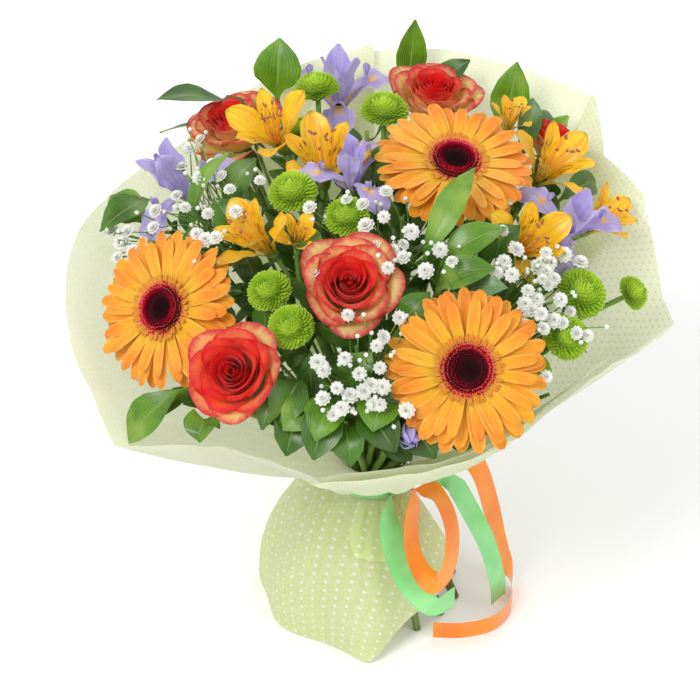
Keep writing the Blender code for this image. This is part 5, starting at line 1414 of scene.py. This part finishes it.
def neck_rows(azimuths, layer, *heights):
    """Rows of a sheet's grid that lie against the tape, or against the sheets below this layer."""
    turns = [math.radians(azimuth) for azimuth in azimuths]
    radii = [neck(a) + layer * LAYER_STEP for a in turns]
    return [[(r * math.cos(a), r * math.sin(a), z) for a, r in zip(turns, radii)] for z in heights]


def wrap():
    shares = np.linspace(0, 1, COLLAR_ROWS)
    for name, node, first, last, narrower, layer, skirt, look in SHEETS:
        azimuths = np.arange(first, last + 0.5, DEGREES_A_COLUMN)
        if skirt:
            rows = [[skirt_point(a, t) for a in azimuths] for t in shares]
            rows = neck_rows(azimuths, layer, TIE[2], TIE[2] - NECK_HALF) + rows
        else:
            turned = [azimuths + narrower * (1 - t) * (last - azimuths) / (last - first) for t in shares]
            rows = [[collar_point(a, t, layer) for a in row] for row, t in zip(turned, shares)]
            rows = neck_rows(turned[0], layer, TIE[2], TIE[2] + NECK_HALF) + rows
        lay(name, node, np.array(rows), azimuths, look)
    first, last = FLAP
    azimuths = np.arange(first, last + 0.5, DEGREES_A_COLUMN)
    rows = neck_rows(azimuths, 1, TIE[2] + NECK_HALF, TIE[2] - NECK_HALF)
    for t in np.linspace(0.02, 1, FLAP_ROWS):
        row = []
        for azimuth in azimuths:
            a = math.radians(azimuth)
            reach = float(np.interp(azimuth, *zip(*FLAP_HEM))) * t
            spot = skirt_point(azimuth, reach)
            room = LAYER_STEP + FLAP_ROOM * t + 1.2 * math.sin(azimuth * 0.5) * t
            row.append(spot + np.array([math.cos(a), math.sin(a), 0]) * room)
        rows.append(row)
    lay("wrap_right_flap", "wrap_right", np.array(rows), azimuths, "skirt")


# Ribbons: the band's width as it is pressed, the free width, and how high above the floor the foot stays
RIBBON_BAND = 6.2
RIBBON_WIDTH = 16.0
RIBBON_FLOOR = 0.4
# From the outmost sheet to the band, and to the start of a run that lies over it
RIBBON_ROOM = 2.4
RUN_ROOM = 3.1
RUN_START_WIDTH = 0.8 * RIBBON_BAND
RINGS_A_POINT = 14
GREEN_BAND_Z = 110.2
ORANGE_BAND_Z = 117.8
OUT = (0.3, -1.0, 0.0)
RIGHT = (0.75, -0.75, 0.2)
# The loop's strip stands edgewise to the loop, half turned to the right
LOOP = (0.72, -0.7, 0.1)
# A run: its two azimuths along the band, then its points (x, y, z, the way that it faces)
GREEN_RUNS = (
    ((-88, -72), (
        (11, -40, 112, OUT), (10, -54, 103, OUT), (15, -68, 86, OUT),
        (25, -78, 67, OUT), (41, -82, 52, OUT), (56, -70, 52, OUT),
    )),
    ((-34, -16), (
        (44, -16, 113, RIGHT), (56, -20, 110, RIGHT), (67, -24, 91, RIGHT),
        (80, -26, 62, RIGHT), (88, -26, 30, RIGHT), (90, -24, 8, RIGHT),
    )),
)
ORANGE_RUNS = (
    ((-66, -52), (
        (28, -40, 119, LOOP), (25, -58, 106, LOOP), (26, -70, 92, LOOP), (33, -80, 80, LOOP),
        (43, -84, 75, LOOP), (51, -76, 84, LOOP), (53, -60, 102, LOOP),
        (46, -44, 116, LOOP), (33, -31, 119.5, LOOP),
    )),
    ((-10, 8), (
        (48, 5, 121, RIGHT), (64, 4, 119, RIGHT), (75, 3, 104, RIGHT), (84, 2, 72, RIGHT), (91, 1, 38, RIGHT),
        (97, 2, 14, RIGHT), (100, -10, 7, (1, -0.2, 0)), (98, -30, 6.6, (0.9, -0.5, 0)),
        (86, -48, 6.6, (0.5, -1, 0)), (64, -56, 6.6, (0.2, -1, 0)), (42, -56, 6.6, (0, -1, 0)),
    )),
)


def band(band_z):
    """The ribbon's turn round the neck, slightly creased along its length."""
    s = np.linspace(-1, 1, 13)
    rows = []
    for a in np.linspace(0, 2 * math.pi, 181):
        r = neck(a) + 2 * LAYER_STEP + RIBBON_ROOM + 0.35 * np.cos(s * 9 + 2 * math.sin(a * 2))
        rows.append(np.stack([r * math.cos(a), r * math.sin(a), band_z + RIBBON_BAND / 2 * s], -1))
    return rows


def ribbon(name, node, band_z, runs, look):
    strip = Piece()
    strip.patch(band(band_z), 0.3)
    for turns, route in runs:
        points = [spot[:3] for spot in route]
        facings = [spot[3] for spot in route]
        widths = [RUN_START_WIDTH] * 2 + [RIBBON_WIDTH] * len(route)
        for degrees in reversed(turns):
            a = math.radians(degrees)
            r = neck(a) + 2 * LAYER_STEP + RUN_ROOM
            points.insert(0, (r * math.cos(a), r * math.sin(a), band_z))
            facings.insert(0, (math.cos(a), math.sin(a), 0))
        count = RINGS_A_POINT * len(points)
        spine = smooth(points, count)
        places = np.linspace(0, 1, len(points))
        share = np.linspace(0, 1, count)
        face = np.stack([np.interp(share, places, column) for column in zip(*facings)], -1)
        wide = np.interp(share, places, widths)
        ahead = np.gradient(spine, axis=0)
        side = np.cross(ahead, face)
        side /= np.linalg.norm(side, axis=1, keepdims=True)
        normal = np.cross(side, ahead)
        normal /= np.linalg.norm(normal, axis=1, keepdims=True)
        s = np.linspace(-1, 1, 9)
        bow = 0.5 * np.outer(np.sin(share * 11), 1 - s**2)
        grid = strip_grid(spine, side, normal, wide[:, None] / 2 * s, bow)
        grid[..., 2] = np.maximum(grid[..., 2], RIBBON_FLOOR)
        strip.patch(grid, 0.6)
    made = strip.make(name, look, node, node)


def tape_material():
    look = Look("binding tape", 0.4, coat=0.2)
    colour = look.mix(look.step(look.noise(80), 0.4, 0.7), (70, 110, 60), (52, 86, 44))
    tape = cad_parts["binding_tape"]
    tape.data.materials.clear()
    tape.data.materials.append(look.done(colour, (look.noise(500), 0.2)))


# Studio, in metres
FLOOR_HALF = 4.0
SKY = 0.72
# Lamps: name, place, size, power
LAMPS = (
    ("key", (-1.2, -1.5, 2.2), 1.2, 46.0),
    ("fill", (1.5, -1.0, 1.2), 1.2, 8.0),
    ("rim", (0.4, 1.4, 1.6), 1.0, 10.0),
)
LAMPS_AIM = (0, 0, 0.22)


def studio():
    scene = bpy.context.scene
    camera = bpy.data.objects.new("camera", bpy.data.cameras.new("camera"))
    camera.data.lens = CAMERA_LENS
    camera.data.sensor_width = SENSOR
    target = Vector((TARGET + CENTRING) * MM)
    camera.location = target + Vector(BACK) * CAMERA_DISTANCE * MM
    camera.rotation_euler = Vector(-BACK).to_track_quat("-Z", "Y").to_euler()
    scene.collection.objects.link(camera)
    scene.camera = camera

    mesh = bpy.data.meshes.new("floor")
    corners = [(x * FLOOR_HALF, y * FLOOR_HALF, 0) for x, y in ((-1, -1), (1, -1), (1, 1), (-1, 1))]
    mesh.from_pydata(corners, [], [(0, 1, 2, 3)])
    floor = bpy.data.objects.new("floor", mesh)
    look = Look("floor", 0.9)
    mesh.materials.append(look.done(look.mix(look.noise(2.0), (247, 247, 247), (249, 249, 249))))
    scene.collection.objects.link(floor)

    world = bpy.data.worlds.new("studio")
    world.use_nodes = True
    background = world.node_tree.nodes["Background"]
    background.inputs["Color"].default_value = (1.0, 1.0, 1.0, 1.0)
    background.inputs["Strength"].default_value = SKY
    scene.world = world
    for name, place, size, power in LAMPS:
        lamp = bpy.data.lights.new(name, "AREA")
        lamp.size = size
        lamp.energy = power
        made = bpy.data.objects.new(name, lamp)
        made.location = place
        made.rotation_euler = (Vector(LAMPS_AIM) - Vector(place)).to_track_quat("-Z", "Y").to_euler()
        scene.collection.objects.link(made)
    scene.view_settings.view_transform = "Standard"


def main():
    studio()
    for shape, rows in (
        (gerbera, GERBERAS), (rose, ROSES), (pompons, POMPON_SPRAYS), (lilies, LILY_SPRAYS), (iris, IRISES),
        (iris_bud, [IRIS_BUD]), (leaves, LEAF_STEMS),
    ):
        for row in rows:
            shape(*row)
    more_leaves()
    mist()
    wrap()
    ribbon("ribbon_green_satin", "ribbon_green", GREEN_BAND_Z, GREEN_RUNS, "green ribbon")
    ribbon("ribbon_orange_satin", "ribbon_orange", ORANGE_BAND_Z, ORANGE_RUNS, "orange ribbon")
    tape_material()


main()
